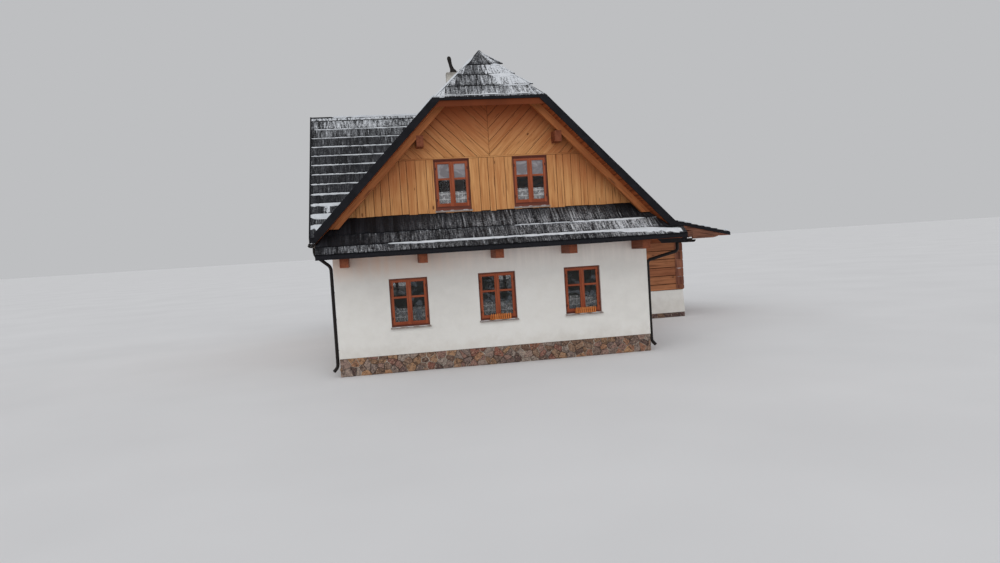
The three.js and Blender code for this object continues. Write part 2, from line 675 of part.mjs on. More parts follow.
// A round pipe through a list of points, with a rounded bend at each inner one
function pipeAlong(points, radius, bend, steps) {
  const corners = points.map((point) => new THREE.Vector3(...point));
  const path = new THREE.CurvePath();
  let from = corners[0];
  for (let i = 1; i < corners.length - 1; i += 1) {
    const before = corners[i].clone().sub(corners[i - 1]).setLength(bend);
    const after = corners[i + 1].clone().sub(corners[i]).setLength(bend);
    const start = corners[i].clone().sub(before);
    const end = corners[i].clone().add(after);
    path.add(new THREE.LineCurve3(from, start));
    path.add(new THREE.QuadraticBezierCurve3(start, corners[i], end));
    from = end;
  }
  path.add(new THREE.LineCurve3(from, corners[corners.length - 1]));
  const section = new THREE.Shape();
  section.absarc(0, 0, radius, 0, Math.PI * 2);
  return new THREE.ExtrudeGeometry(section, {
    steps, curveSegments: PIPE_SIDES, bevelEnabled: false, extrudePath: path,
  });
}

// A small metal strap from one distance off the centre line to another, on the hand's side
function bridge(hand, near, far, y, z0, z1) {
  const [x0, x1] = [hand * near, hand * far].sort((a, b) => a - b);
  return boxGeometry(x0, x1, y - CLIP_HALF, y + CLIP_HALF, z0, z1);
}

// The eave gutters hang on straps, and each downpipe is clipped to the side wall
function makeGutters() {
  const troughs = [
    ['east', 1, GUTTER.eastX, EAST_EAVE, GUTTER.eastZ, GUTTER_EAST_END],
    ['west', -1, GUTTER.westX, WEST_EAVE, GUTTER.westZ,
      -wingReach(mainTop(WEST_EAVE)) - GUTTER_STOP],
  ];
  const away = HALF_WIDTH + PIPE_RADIUS + PIPE_CLEAR;
  const drop = (hand, x, z, [kneeHigh, kneeLow]) => [
    [hand * x, PIPE_Y, z - GUTTER.radius + GUTTER.wall / 2], [hand * x, PIPE_Y, kneeHigh],
    [hand * away, PIPE_Y, kneeLow], [hand * away, PIPE_Y, PIPE_SHOE_Z],
    [hand * (away + PIPE_KICK), PIPE_Y, PIPE_SHOE_Z - PIPE_KICK],
  ];
  for (const [side, hand, x, eave, z, end] of troughs) {
    const pieces = [
      alongY(troughOutline(hand * x, z), -GUTTER_FRONT, end),
      pipeAlong(drop(hand, x, z, PIPE_KNEES[side]), PIPE_RADIUS, PIPE_BEND, PIPE_STEPS),
    ];
    for (let y = -VERGE + 2 * CLIP_HALF; y < end; y += STRAP_PITCH) {
      pieces.push(bridge(hand, eave + GAP, x + GUTTER.radius, y, z + STRAP_LOW, z + STRAP_HIGH));
    }
    for (const clip of PIPE_CLIP_Z) {
      pieces.push(bridge(hand, HALF_WIDTH + GAP, away, PIPE_Y, clip - CLIP_HALF, clip + CLIP_HALF));
    }
    place(`${side}_gutter_and_downpipe`, join(pieces), 'metal');
  }
}

makeBases();
makeWalls();
makeGable('front_gable_wall', -1, GABLE_WINDOW_X);
makeGable('rear_gable_wall', 1, [0]);
makeWestGable();
makeFloor();
makeMainRoof();
makePentRoofs();
makeBarge('front_bargeboards', -1);
makeBarge('rear_bargeboards', 1);
makeVergeFrame('front_verge_rafters', -1);
makeVergeFrame('rear_verge_rafters', 1);
makeWingVerge();
makePurlins();
makeWindows();
makeDoor();
makeAnnex();
makeLeanTo();
makeChimney();
makeGutters();

export default house;
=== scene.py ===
# Looks of a half-hipped mountain farmhouse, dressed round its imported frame.
# Metres, +X east, +Y north, +Z up. The front looks towards -Y.
import math
import random

import bpy
from mathutils import Matrix, Vector, noise


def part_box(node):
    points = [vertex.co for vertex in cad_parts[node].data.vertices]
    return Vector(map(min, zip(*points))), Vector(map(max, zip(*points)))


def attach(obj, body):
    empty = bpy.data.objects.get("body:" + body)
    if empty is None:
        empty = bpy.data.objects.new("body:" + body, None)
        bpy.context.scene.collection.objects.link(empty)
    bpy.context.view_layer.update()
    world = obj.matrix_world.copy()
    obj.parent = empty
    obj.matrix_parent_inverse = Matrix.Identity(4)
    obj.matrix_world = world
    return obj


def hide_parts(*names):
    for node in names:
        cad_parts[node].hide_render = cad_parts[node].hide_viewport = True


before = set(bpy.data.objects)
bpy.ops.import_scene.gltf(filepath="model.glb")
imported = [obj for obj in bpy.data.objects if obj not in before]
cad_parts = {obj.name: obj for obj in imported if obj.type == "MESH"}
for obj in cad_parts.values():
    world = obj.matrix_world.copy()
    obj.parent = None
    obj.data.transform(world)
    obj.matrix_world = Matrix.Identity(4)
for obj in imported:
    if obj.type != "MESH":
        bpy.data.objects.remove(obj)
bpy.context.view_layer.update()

# Places read from the frame
HALF_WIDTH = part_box("front_wall")[1].x
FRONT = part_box("front_wall")[0].y
HALF_LENGTH = -FRONT
RIDGE_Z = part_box("main_roof_east")[1].z
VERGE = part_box("main_roof_east")[1].y
WEST_EAVE = -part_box("main_roof_west")[0].x
EAST_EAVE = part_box("main_roof_east")[1].x
GUTTER_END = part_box("east_gutter_and_downpipe")[1].y
WING_RIDGE_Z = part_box("cross_gable_roof_south")[1].z
WING_VERGE = -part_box("west_bargeboards")[0].x
BARGE_FACE = -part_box("front_bargeboards")[0].y
PENT_EAVE = -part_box("front_pent_roof")[0].y
PENT_WEST = -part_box("front_pent_roof")[0].x
PENT_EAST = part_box("front_pent_roof")[1].x
PENT_TOP_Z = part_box("front_pent_roof")[1].z
LEAN_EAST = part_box("lean_to_roof")[1].x
LEAN_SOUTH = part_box("lean_to_roof")[0].y
LEAN_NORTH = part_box("lean_to_roof")[1].y
ANNEX_LOW, ANNEX_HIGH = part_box("annex_plaster_wall")
ANNEX_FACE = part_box("annex_log_wall_east")[1].x
CHIMNEY_LOW, CHIMNEY_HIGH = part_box("chimney_stack")

# Roof shape: plumb depth of the slabs, what stays free below them, and the slopes
ROOF_DEPTH = 0.216
PENT_DEPTH = 0.062
LEAN_DEPTH = 0.11
FREE = 0.004
MAIN_ANGLE = math.radians(46)
HIP_ANGLE = math.radians(48.5)
WING_ANGLE = math.radians(47)
LEAN_ANGLE = math.atan(0.25)
HIP_EAVE_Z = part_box("front_half_hip")[0].z + ROOF_DEPTH
PENT_EAVE_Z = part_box("front_pent_roof")[0].z + PENT_DEPTH
LEAN_EAVE_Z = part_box("lean_to_roof")[0].z + LEAN_DEPTH
PENT_ANGLE = math.atan((PENT_TOP_Z - PENT_EAVE_Z) / (PENT_EAVE - HALF_LENGTH))

# Shingles: length that shows, lap under the next row, thickness of the doubled butts, and
# the places up a slope where the rows of the smaller roofs start
EXPOSURE = 0.445
LEAN_EXPOSURE = 0.26
HIP_ROWS = (-0.022, 0.445, 0.905, 1.342)
PENT_ROWS = (0.032, 0.335, 0.775)
WING_FIRST, WING_EXPOSURE, WING_TOP_ROW = 0.534, 0.446, 0.22
LAP = 0.04
BUTT = (0.027, 0.036)
HEAD = 0.004
SHINGLE_WIDTH = (0.075, 0.13)

UP = Vector((0, 0, 1))


def main_top(x):
    return RIDGE_Z - math.tan(MAIN_ANGLE) * abs(x)


def main_reach(z):
    return (RIDGE_Z - z) / math.tan(MAIN_ANGLE)


def wing_reach(z):
    return (WING_RIDGE_Z - z) / math.tan(WING_ANGLE)


def hip_reach(z):
    return VERGE - (z - HIP_EAVE_Z) / math.tan(HIP_ANGLE)


def lean_top(x):
    return LEAN_EAVE_Z + math.tan(LEAN_ANGLE) * (LEAN_EAST - x)


def lerp(a, b, t):
    return a + (b - a) * t


def clamp(value, low, high):
    return max(low, min(high, value))


def graded(x, stops):
    """A value that runs straight from one (place, value) stop to the next."""
    for (x0, v0), (x1, v1) in zip(stops, stops[1:]):
        if x < x1:
            return lerp(v0, v1, clamp((x - x0) / (x1 - x0), 0, 1))
    return stops[-1][1]


def smooth(low, high, value):
    t = clamp((value - low) / (high - low), 0, 1)
    return t * t * (3 - 2 * t)


def wobble(x, y, z=0.0):
    return noise.noise(Vector((x, y, z)))


# Materials


def srgb(red, green, blue):
    """The linear colour that nodes take, from 8-bit sRGB."""
    def linear(c):
        c /= 255
        return c / 12.92 if c <= 0.04045 else ((c + 0.055) / 1.055) ** 2.4
    return (linear(red), linear(green), linear(blue), 1.0)


def arithmetic(operation, flipped=False):
    """A method of Value that adds the node for one operation."""
    def method(self, other=0.0):
        kind = "VectorMath" if self.socket.type == "VECTOR" else "Math"
        inputs = {0: other, 1: self} if flipped else {0: self, 1: other}
        return self.tree.node(kind, inputs, operation=operation)
    return method


class Value:
    """An output of a node. What is worked out from it is another node's output."""

    __add__ = arithmetic("ADD")
    __sub__ = arithmetic("SUBTRACT")
    __rsub__ = arithmetic("SUBTRACT", flipped=True)
    __mul__ = arithmetic("MULTIPLY")
    __abs__ = arithmetic("ABSOLUTE")
    larger = arithmetic("MAXIMUM")
    fract = arithmetic("FRACT")
    floor = arithmetic("FLOOR")

    def __init__(self, tree, socket):
        self.tree, self.socket = tree, socket

    def parts(self):
        first = self.tree.node("SeparateXYZ", {0: self})
        return [Value(self.tree, socket) for socket in first.socket.node.outputs]

    def span(self, low, high, out_low=0.0, out_high=1.0):
        inputs = {"Value": self, "From Min": low, "From Max": high,
                  "To Min": out_low, "To Max": out_high}
        return self.tree.node("MapRange", inputs, interpolation_type="SMOOTHSTEP")

    def mix(self, a, b):
        """The first colour where this is 0, and the second where it is 1."""
        return self.tree.node("Mix", {0: self, 6: a, 7: b}, 2, data_type="RGBA")

    def noise(self, scale, detail=3.0, roughness=0.5, distortion=0.0):
        inputs = {"Vector": self, "Scale": scale, "Detail": detail,
                  "Roughness": roughness, "Distortion": distortion}
        return self.tree.node("TexNoise", inputs)

    def cells(self, scale, randomness=1.0, output="Distance"):
        inputs = {"Vector": self, "Scale": scale, "Randomness": randomness}
        return self.tree.node("TexVoronoi", inputs, output)

    def ramp(self, *stops):
        made = self.tree.node("ValToRGB", {0: self})
        elements = made.socket.node.color_ramp.elements
        while len(elements) < len(stops):
            elements.new(0.5)
        for element, (position, colour) in zip(elements, stops):
            element.position = position
            element.color = srgb(*colour)
        return made


class Tree:
    """A material's nodes. Colours are given in 8-bit sRGB."""

    def __init__(self, name, **constants):
        self.material = bpy.data.materials.new(name)
        self.material.use_nodes = True
        self.nodes = self.material.node_tree.nodes
        self.links = self.material.node_tree.links
        self.shader = self.nodes["Principled BSDF"]
        for socket, value in constants.items():
            self.shader.inputs[socket.replace("_", " ")].default_value = value
        self.at, self.uv, self.facing = (self.node("TexCoord", (), output)
                                         for output in ("Object", "UV", "Normal"))

    def node(self, kind, inputs=(), output=0, **settings):
        """Adds a node, and gives one of its outputs."""
        made = self.nodes.new("ShaderNode" + kind)
        for name, value in settings.items():
            setattr(made, name, value)
        for key, value in dict(inputs).items():
            socket = made.inputs[key]
            if isinstance(value, Value):
                self.links.new(value.socket, socket)
            else:
                socket.default_value = srgb(*value) if socket.type == "RGBA" else value
        return Value(self, made.outputs[output])

    def vector(self, x=0.0, y=0.0, z=0.0):
        return self.node("CombineXYZ", {0: x, 1: y, 2: z})

    def attribute(self, name):
        return self.node("Attribute", (), "Fac", attribute_name=name)

    def finish(self, colour, height=None, distance=0.0, strength=1.0, roughness=None, alpha=None):
        """Links the colour, a bump of some height, and what else isn't the same all over."""
        bump = None
        if height:
            bump = self.node("Bump", {"Height": height, "Distance": distance, "Strength": strength})
        links = {"Base Color": colour, "Normal": bump, "Roughness": roughness, "Alpha": alpha}
        for socket, value in links.items():
            if value:
                self.links.new(value.socket, self.shader.inputs[socket])
        return self.material


KNOT = (84, 44, 22)
SNOW_SHADE, SNOW_LIGHT = (190, 194, 200), (220, 223, 227)
SOFFIT_BOARD = 0.14
SOFFIT_WOOD = ((116, 56, 30), (168, 92, 52))
# A darker copy of the soffit wood for the half hips' slab ends: painted shade
HIP_SHADED_WOOD = ((92, 44, 23), (118, 58, 31))


def grain_place(t, grain):
    """Metres along the grain first, then across it."""
    if grain == "uv":
        return t.uv
    x, y, z = t.at.parts()
    if grain in ("rafter_x", "rafter_y"):
        side, depth = (x, y) if grain == "rafter_x" else (y, x)
        fall, level = math.sin(MAIN_ANGLE), math.cos(MAIN_ANGLE)
        return t.vector(abs(side) * level - z * fall, abs(side) * fall + z * level, depth)
    return t.vector(*{"x": (x, y, z), "y": (y, x, z), "z": (z, x, y)}[grain])


def wood(name, light, dark, red, grain="uv", roughness=0.62, shade_under_roof=None, tones=0.3):
    """Glazed softwood with its grain along U, or along an axis of the object. shade_under_roof is the
    colour of painted shade near the main roof's underside and high up in the gable, and tones how much
    redder some pieces are."""
    t = Tree(name, Roughness=roughness, Specular_IOR_Level=0.2)
    tone = t.attribute("tone")
    at = grain_place(t, grain) + t.vector(tone * 31.0, tone * 17.0)
    broad = (at * (0.55, 9.0, 9.0)).noise(1.5, 4, 0.55, 0.9)
    fine = (at * (1.6, 70.0, 70.0)).noise(1.0, 2, 0.6)
    crack = (at * (1.1, 26.0, 26.0)).noise(1.0, 3, 0.5, 0.5)
    figure = broad * 0.66 + fine * 0.34
    colour = figure.ramp((0.36, dark), (0.6, light))
    colour = tone.span(0.35, 1.0, 0.0, tones).mix(colour, red)
    colour = t.at.noise(0.9, 3).span(0.42, 0.72, 0.0, 0.3).mix(colour, red)
    # Painted shade: darker, redder boards near the main roof's underside and high up in the gable
    if shade_under_roof:
        x, _, z = t.at.parts()
        below = RIDGE_Z - (z + abs(x) * math.tan(MAIN_ANGLE))
        near = below.span(1.7, 0.6, 0.0, 0.45) * z.span(4.2, 5.0)
        colour = near.larger(z.span(5.3, 7.1)).mix(colour, shade_under_roof)
    colour = crack.span(0.61, 0.72, 0.0, 0.68).mix(colour, KNOT)
    spots = at * (1.9, 4.6, 4.6)
    distance = spots.cells(1.0)
    chosen = spots.cells(1.0, output="Color").parts()[0].span(0.5, 0.54)
    knots = distance.span(0.13, 0.07) * chosen
    colour = (distance.span(0.34, 0.1, 0.0, 0.4) * chosen).mix(colour, dark)
    colour = (knots * 0.85).mix(colour, KNOT)
    gloss = figure.span(0.3, 0.7, roughness + 0.08, roughness - 0.08)
    return t.finish(colour, figure - knots * 0.3, 0.004, 0.55, gloss)


def plaster():
    t = Tree("lime_plaster", Roughness=0.9)
    x, _, z = t.at.parts()
    patch = t.at.noise(4.0, 4, 0.6)
    tint = t.at.noise(0.55, 4, 0.6) * 0.6 + patch * 0.4
    colour = tint.ramp((0.3, (214, 212, 207)), (0.5, (222, 220, 215)), (0.72, (228, 227, 223)))
    splash = z.span(1.15, 0.45) - patch * 0.9
    colour = splash.span(0.0, 0.8, 0.0, 0.2).mix(colour, (166, 152, 134))
    # Painted light and shade below the eaves, in patches from 2.3 m up: warmer and darker to the west,
    # lighter and near white to the east
    runs = (t.at * (5.0, 5.0, 0.35)).noise(1.0, 3, 0.6).span(0.35, 0.7, 0.6, 1.0)
    painted_eave_light_and_shade = x.span(-3.0, 0.8).ramp((0.0, (226, 202, 184)), (1.0, (255, 250, 243)))
    colour = (z.span(2.3, 2.95) * runs * 0.95).mix(colour, painted_eave_light_and_shade)
    trowel, grit = t.at.noise(3.2, 3, 0.5, 0.8), t.at.noise(38.0, 3, 0.6)
    return t.finish(colour, trowel + grit * 0.12, 0.02, 0.5)


def rubble_stone():
    t = Tree("rubble_stone", Roughness=0.92, Specular_IOR_Level=0.2)
    base = t.attribute("tone").ramp(
        (0.0, (84, 68, 66)), (0.18, (150, 116, 88)), (0.36, (112, 98, 94)), (0.52, (172, 132, 98)),
        (0.68, (134, 88, 76)), (0.84, (154, 140, 130)), (1.0, (98, 76, 74)))
    grain, fine = t.at.noise(13.0, 5, 0.7, 0.6), t.at.noise(30.0, 4, 0.65)
    colour = grain.span(0.45, 0.62, 0.0, 0.75).mix(base, (56, 44, 40))
    colour = fine.span(0.53, 0.66, 0.0, 0.6).mix(colour, (196, 170, 146))
    return t.finish(colour, grain + fine * 0.4, 0.03, 0.9)


def mortar():
    t = Tree("mortar", Roughness=0.95)
    grain = t.at.noise(24.0, 4, 0.6)
    colour = grain.ramp((0.3, (176, 164, 150)), (0.7, (206, 198, 186)))
    colour = t.at.noise(3.4, 3, 0.6).span(0.42, 0.56).mix(colour, (72, 60, 54))
    return t.finish(colour, grain, 0.012, 0.8)


def shingle_material():
    """Tarred shingles under thin snow. U runs across a shingle and V up the part that shows,
    both from 0 to 1. Snow lies in streaks and keeps to the joints, and off the butts."""
    t = Tree("tarred_shingles", Roughness=0.75, Specular_IOR_Level=0.12)
    tone, snow = t.attribute("tone"), t.attribute("snow")
    u, v, _ = t.uv.parts()
    streak = t.vector(u * 2.4, v * 0.9, tone * 60.0).noise(1.0, 3, 0.7)
    weather = t.vector(u * 8.0, v * 1.2, tone * 60.0).noise(1.0, 3, 0.6)
    fleck = t.at.noise(24.0, 4, 0.7)
    tarred = (weather * 0.7 + tone * 0.3).ramp(
        (0.25, (14, 14, 16)), (0.55, (26, 26, 30)), (0.85, (50, 51, 56)))
    left, right, own = [(tone * factor).fract() for factor in (7.31, 13.7, 5.77)]
    joint = left * u.span(0.3, 0.0) + right * u.span(0.7, 1.0)
    share = streak * 5.4 + fleck * 4.4 + joint * 0.6 + own * 0.7 - v.span(0.26, 0.0) * 0.45 - 4.3
    rare = streak.span(0.6, 0.72, 0.0, 0.3) * snow.span(0.04, 0.16)
    level = snow * share.larger(0.1) + rare
    white = level.span(0.0, 1.0) * t.facing.parts()[2].span(0.05, 0.3)
    colour = white.mix(tarred, fleck.ramp((0.3, SNOW_SHADE), (0.7, SNOW_LIGHT)))
    return t.finish(colour, weather + white * 0.6, 0.006, 0.7, white.span(0.0, 1.0, 0.66, 0.85))


def snow_material():
    t = Tree("thin_snow", Roughness=0.8)
    drift, grain = t.at.noise(6.0, 4, 0.6), t.at.noise(60.0, 3, 0.6)
    colour = (drift * 0.6 + grain * 0.4).ramp((0.3, SNOW_SHADE), (0.7, SNOW_LIGHT))
    return t.finish(colour, drift + grain * 0.3, 0.012, 0.5)


def black_boards():
    t = Tree("black_boards", Roughness=0.55, Specular_IOR_Level=0.1)
    run, fine = t.at.noise(4.2, 4, 0.6, 0.4), t.at.noise(45.0, 3, 0.6)
    colour = (run * 0.6 + fine * 0.4).ramp((0.3, (12, 12, 15)), (0.7, (30, 30, 35)))
    return t.finish(colour, run + fine, 0.003, 0.6, fine.span(0.3, 0.7, 0.45, 0.65))


def roof_slab(name, across, plane=None, skin=0.0, timber=SOFFIT_WOOD, eave=None):
    """Black edges and upper face, and soffit boards laid side by side along an axis. The
    soffit is black too past an eave's X, over the short gutter: a black eave board with painted shade.
    Below a plane (its axis, height at 0 and fall) by more than the skin, the edges are wood."""
    t = Tree(name, Roughness=0.65, Specular_IOR_Level=0.1)
    axes = x, y, z = t.at.parts()
    run, step = (y, x) if across == "x" else (x, y)
    lane = step * (1 / SOFFIT_BOARD)
    seam = abs(lane.fract() - 0.5).span(0.455, 0.49)
    grain = t.vector(run * 0.7, step * 14.0, lane.floor() * 3.7).noise(1.3, 4, 0.6)
    wooden = seam.mix(grain.ramp((0.3, timber[0]), (0.7, timber[1])), (52, 28, 16))
    black = t.at.noise(30.0, 4, 0.6).ramp((0.3, (16, 16, 19)), (0.7, (34, 34, 39)))
    under = t.facing.parts()[2].span(-0.3, -0.4)
    # Over the short gutter the soffit is black: a black eave board with painted shade
    if eave:
        black_board_and_shade_over_gutter = x.span(eave - 0.01, eave) * y.span(GUTTER_END + 0.01, GUTTER_END)
        under = under * (1.0 - black_board_and_shade_over_gutter)
    if plane:
        axis, height, fall = plane
        depth = height - abs(axes[axis]) * fall - z
        under = under.larger(depth.span(skin - FREE, skin + FREE))
    return t.finish(under.mix(black, wooden), grain - seam, 0.004, 0.6)


def painted_metal(name, low, high):
    t = Tree(name, Roughness=0.5, Specular_IOR_Level=0.15)
    wear, fine = t.at.noise(9.0, 4, 0.6), t.at.noise(70.0, 3, 0.6)
    gloss = wear.span(0.3, 0.7, 0.38, 0.6)
    return t.finish(wear.ramp((0.3, low), (0.72, high)), fine, 0.001, 0.4, gloss)


def chimney_render():
    t = Tree("chimney_render", Roughness=0.9)
    patch = t.at.noise(5.0, 4, 0.6)
    soot = t.at.parts()[2].span(9.1, 9.5) - patch * 0.6
    colour = patch.ramp((0.3, (170, 166, 158)), (0.7, (206, 202, 194)))
    colour = soot.span(0.0, 0.7, 0.0, 0.6).mix(colour, (92, 86, 80))
    return t.finish(colour, t.at.noise(30.0, 4, 0.6), 0.006, 0.7)


def glass(name, reflection_low, reflection_high, sky, dark, film, reflection_patches):
    """Old panes with a painted reflection of the sky in their upper part, between two heights, and in
    patches, over painted shade of the dark room behind. film is how much the rest hides."""
    t = Tree(name, Roughness=0.07)
    painted_light_noise = (t.at * (2.6, 2.6, 4.0)).noise(1.0, 3, 0.6, 0.8)
    # Painted shade of the room behind the glass, and a painted reflection of the sky
    painted_room_shade = painted_light_noise.ramp((0.35, dark), (0.7, [c + 22 for c in dark]))
    painted_reflection = painted_light_noise.ramp((0.42, [c - 34 for c in sky]), (0.56, sky))
    reflection_share = (t.at.parts()[2] + painted_light_noise * 0.12).span(reflection_low, reflection_high)
    reflection_share = reflection_share.larger(painted_light_noise.span(0.5, 0.62, 0.0, reflection_patches))
    waves = t.at.noise(3.0, 2)
    return t.finish(reflection_share.mix(painted_room_shade, painted_reflection), waves, 0.01, 0.25, alpha=reflection_share.span(0.0, 1.0, film, 0.9))


def lace():
    """White lace: a net, with closer figures and bands worked into it."""
    t = Tree("lace", Roughness=0.9)
    thread = t.uv.cells(70.0, 0.35).span(0.22, 0.42)
    figure = t.uv.noise(9.0, 3, 0.6).span(0.5, 0.58)
    band = abs((t.uv.parts()[1] * 7.0).fract() - 0.5).span(0.36, 0.42)
    solid = figure.larger(band).larger(thread * 0.6)
    colour = solid.mix((164, 166, 168), (244, 245, 246))
    return t.finish(colour, alpha=solid.span(0.0, 1.0, 0.3, 0.97))


PLASTER = plaster()
STONE = rubble_stone()
MORTAR = mortar()
SHINGLES = shingle_material()
SNOW = snow_material()
BLACK = black_boards()
METAL = painted_metal("dark_sheet_metal", (22, 19, 19), (40, 34, 32))
SILL_METAL = painted_metal("sill_metal", (150, 138, 132), (186, 176, 170))
RENDER = chimney_render()
# Panes with painted sky reflections over painted room shade: heights of the reflection, its colour, the
# shade's colour, film and patches
GLASS = glass("ground_floor_glass", 2.9, 3.3, (84, 90, 98), (24, 27, 24), 0.3, 0.6)
HIGH_GLASS = glass("upper_floor_glass", 4.93, 5.06, (148, 143, 147), (44, 42, 42), 0.14, 0.12)
LACE = lace()
# The gable boards, with painted shade under the roof
BOARDS = wood("gable_boards", (212, 156, 100), (180, 120, 70), (170, 98, 52),
              shade_under_roof=(164, 81, 44), tones=0.16)
RAFTER_X = wood("rafter_timber", (182, 113, 66), (148, 86, 48), (142, 75, 39), grain="rafter_x")
RAFTER_Y = wood("wing_rafter_timber", (182, 113, 66), (148, 86, 48), (142, 75, 39), grain="rafter_y")
TIMBER_X = wood("floor_timber", (184, 120, 76), (150, 92, 54), (140, 76, 44), grain="x")
TIMBER_Y = wood("beam_timber", (142, 80, 53), (112, 60, 40), (98, 48, 33), grain="y")
LOGS = wood("hewn_logs", (184, 122, 82), (112, 70, 47), (128, 72, 47), tones=0.7)
LOG_ENDS = wood("log_ends", (160, 104, 80), (92, 54, 42), (84, 42, 32), grain="z", tones=0.8)
EAVE_TIMBER = wood("weathered_timber", (134, 88, 68), (64, 40, 32), (84, 50, 39), tones=0.6)
JOINERY = wood("red_brown_joinery", (166, 86, 52), (128, 58, 34), (112, 46, 27), roughness=0.45)
# A darker copy of the joinery, for painted shade on the outer frames and the gable windows' apron and head
# strips
SHADED_FRAMES = wood("shaded_red_frames", (124, 66, 48), (86, 42, 30), (80, 34, 26), roughness=0.45)
ORANGE = wood("orange_pickets", (222, 142, 76), (188, 108, 50), (176, 92, 44))
# Dark brown for the walls behind the boards and logs: painted shade in the gaps
SHADE_BACKING = wood("painted_shade_backing", (70, 42, 26), (46, 28, 18), (40, 22, 14))


# Meshes


def grain_axes(corners, along):
    """The directions on a face that its U and V are measured along."""
    normal = (corners[1] - corners[0]).cross(corners[2] - corners[1])
    side = normal.cross(along)
    if side.length >= 0.05 * normal.length:
        return along, side.normalized()
    first = normal.cross(UP)
    return (first.normalized() if first.length > 1e-9 else Vector((1, 0, 0))), UP


def new_mesh(name, points, faces, finishes, uvs=(), smooth_shade=False):
    """A mesh with its finishes. uvs has a pair for each corner of each face."""
    mesh = bpy.data.meshes.new(name)
    mesh.from_pydata(points, [], faces)
    for finish in finishes:
        mesh.materials.append(finish)
    if uvs:
        layer = mesh.uv_layers.new(name="grain")
        layer.data.foreach_set("uv", [c for uv in uvs for c in uv])
    mesh.polygons.foreach_set("use_smooth", [smooth_shade] * len(faces))
    return mesh


def add_object(name, data):
    made = bpy.data.objects.new(name, data)
    bpy.context.scene.collection.objects.link(made)
    return made


class Shape:
    """Closed solids gathered into one mesh, with UVs in metres along and across the grain."""

    def __init__(self):
        self.points, self.faces, self.uvs = [], [], []
        self.tones, self.snows, self.slots, self.finishes = [], [], [], []

    def solid(self, points, faces, finish, grain=(1, 0, 0), tone=0.0, uvs=None, snow=None):
        base = len(self.points)
        self.points += [tuple(p) for p in points]
        if finish not in self.finishes:
            self.finishes.append(finish)
        for face in faces:
            self.faces.append([base + i for i in face])
            self.tones.append(tone)
            self.snows += [snow[i] for i in face] if snow else [0.0] * len(face)
            self.slots.append(self.finishes.index(finish))
            if uvs:
                self.uvs += [uvs[i] for i in face]
            else:
                corners = [Vector(points[i]) for i in face]
                u, v = grain_axes(corners, Vector(grain))
                self.uvs += [(c.dot(u), c.dot(v)) for c in corners]

    def prism(self, outline, depth, finish, **looks):
        """A solid from its front outline, anticlockwise seen from in front, and its depth."""
        n = len(outline)
        if n < 3:
            return
        front = [Vector(p) for p in outline]
        back = [p + Vector(depth) for p in front]
        faces = [list(range(n)), list(range(2 * n - 1, n - 1, -1))]
        faces += [[i, i + n, (i + 1) % n + n, (i + 1) % n] for i in range(n)]
        self.solid(front + back, faces, finish, **looks)

    def box(self, low, high, finish, **looks):
        (x0, y0, z0), (x1, y1, z1) = low, high
        outline = [(x0, y0, z0), (x1, y0, z0), (x1, y0, z1), (x0, y0, z1)]
        self.prism(outline, (0, y1 - y0, 0), finish, **looks)

    def loft(self, sections, finish, **looks):
        """A closed tube through rings of like points, anticlockwise seen from its start."""
        n, count = len(sections[0]), len(sections)
        points = [p for ring in sections for p in ring]
        faces = [list(range(n)), [(count - 1) * n + i for i in reversed(range(n))]]
        for k in range(count - 1):
            for i in range(n):
                j = (i + 1) % n
                faces.append([k * n + i, (k + 1) * n + i, (k + 1) * n + j, k * n + j])
        self.solid(points, faces, finish, **looks)

    def build(self, name, matrix=None, bevel=0.0, replaces=(), smooth_shade=False):
        mesh = new_mesh(name, self.points, self.faces, self.finishes, self.uvs, smooth_shade)
        for label, domain, values in (("tone", "FACE", self.tones), ("snow", "CORNER", self.snows)):
            mesh.attributes.new(label, "FLOAT", domain).data.foreach_set("value", values)
        mesh.polygons.foreach_set("material_index", self.slots)
        if matrix:
            mesh.transform(matrix)
        mesh.validate()
        piece = add_object(name, mesh)
        if bevel:
            add_bevel(piece, bevel)
        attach(piece, "root")
        if replaces:
            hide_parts(*replaces)
        return piece


def add_bevel(piece, width, segments=2):
    bevel = piece.modifiers.new("rounded_edges", "BEVEL")
    bevel.width = width
    bevel.segments = segments
    bevel.limit_method = "ANGLE"
    bevel.angle_limit = math.radians(40)
    bevel.harden_normals = True


def clip(outline, point, outward):
    """The part of a flat outline on the inner side of a line."""
    kept = []
    for i, p in enumerate(outline):
        q = outline[(i + 1) % len(outline)]
        here, there = (p - point).dot(outward), (q - point).dot(outward)
        if here <= 0:
            kept.append(p)
        if (here < 0) != (there < 0) and abs(here - there) > 1e-9:
            kept.append(p.lerp(q, here / (here - there)))
    return kept


def clip_to(outline, region):
    """The part of a flat outline inside a convex region, both anticlockwise."""
    kept = [Vector(p) for p in outline]
    corners = [Vector(p) for p in region]
    for i, p in enumerate(corners):
        edge = corners[(i + 1) % len(corners)] - p
        kept = clip(kept, p, Vector((edge.y, -edge.x)))
    return kept if len(kept) > 2 else []


def rectangle(x0, x1, z0, z1):
    return [(x0, z0), (x1, z0), (x1, z1), (x0, z1)]


def turned(angle, x=0.0, y=0.0, z=0.0):
    """From a wall's own frame, X across it and -Y out of it, to the row frame."""
    return Matrix.Translation((x, y, z)) @ Matrix.Rotation(angle, 4, "Z")


# Roofs


class Slope:
    """A roof plane. A place on it is given along its eave, up it, and off its face."""

    def __init__(self, facing, angle, reach, eave_z):
        out = Vector((*facing, 0))
        self.rise = math.sin(angle)
        self.up = -out * math.cos(angle) + Vector((0, 0, self.rise))
        self.normal = out * self.rise + Vector((0, 0, math.cos(angle)))
        self.along = self.up.cross(self.normal)
        self.eave = out * reach + Vector((0, 0, eave_z))

    def at(self, along, up, off=0.0):
        return self.eave + self.along * along + self.up * up + self.normal * off

    def z(self, up):
        return self.eave.z + up * self.rise


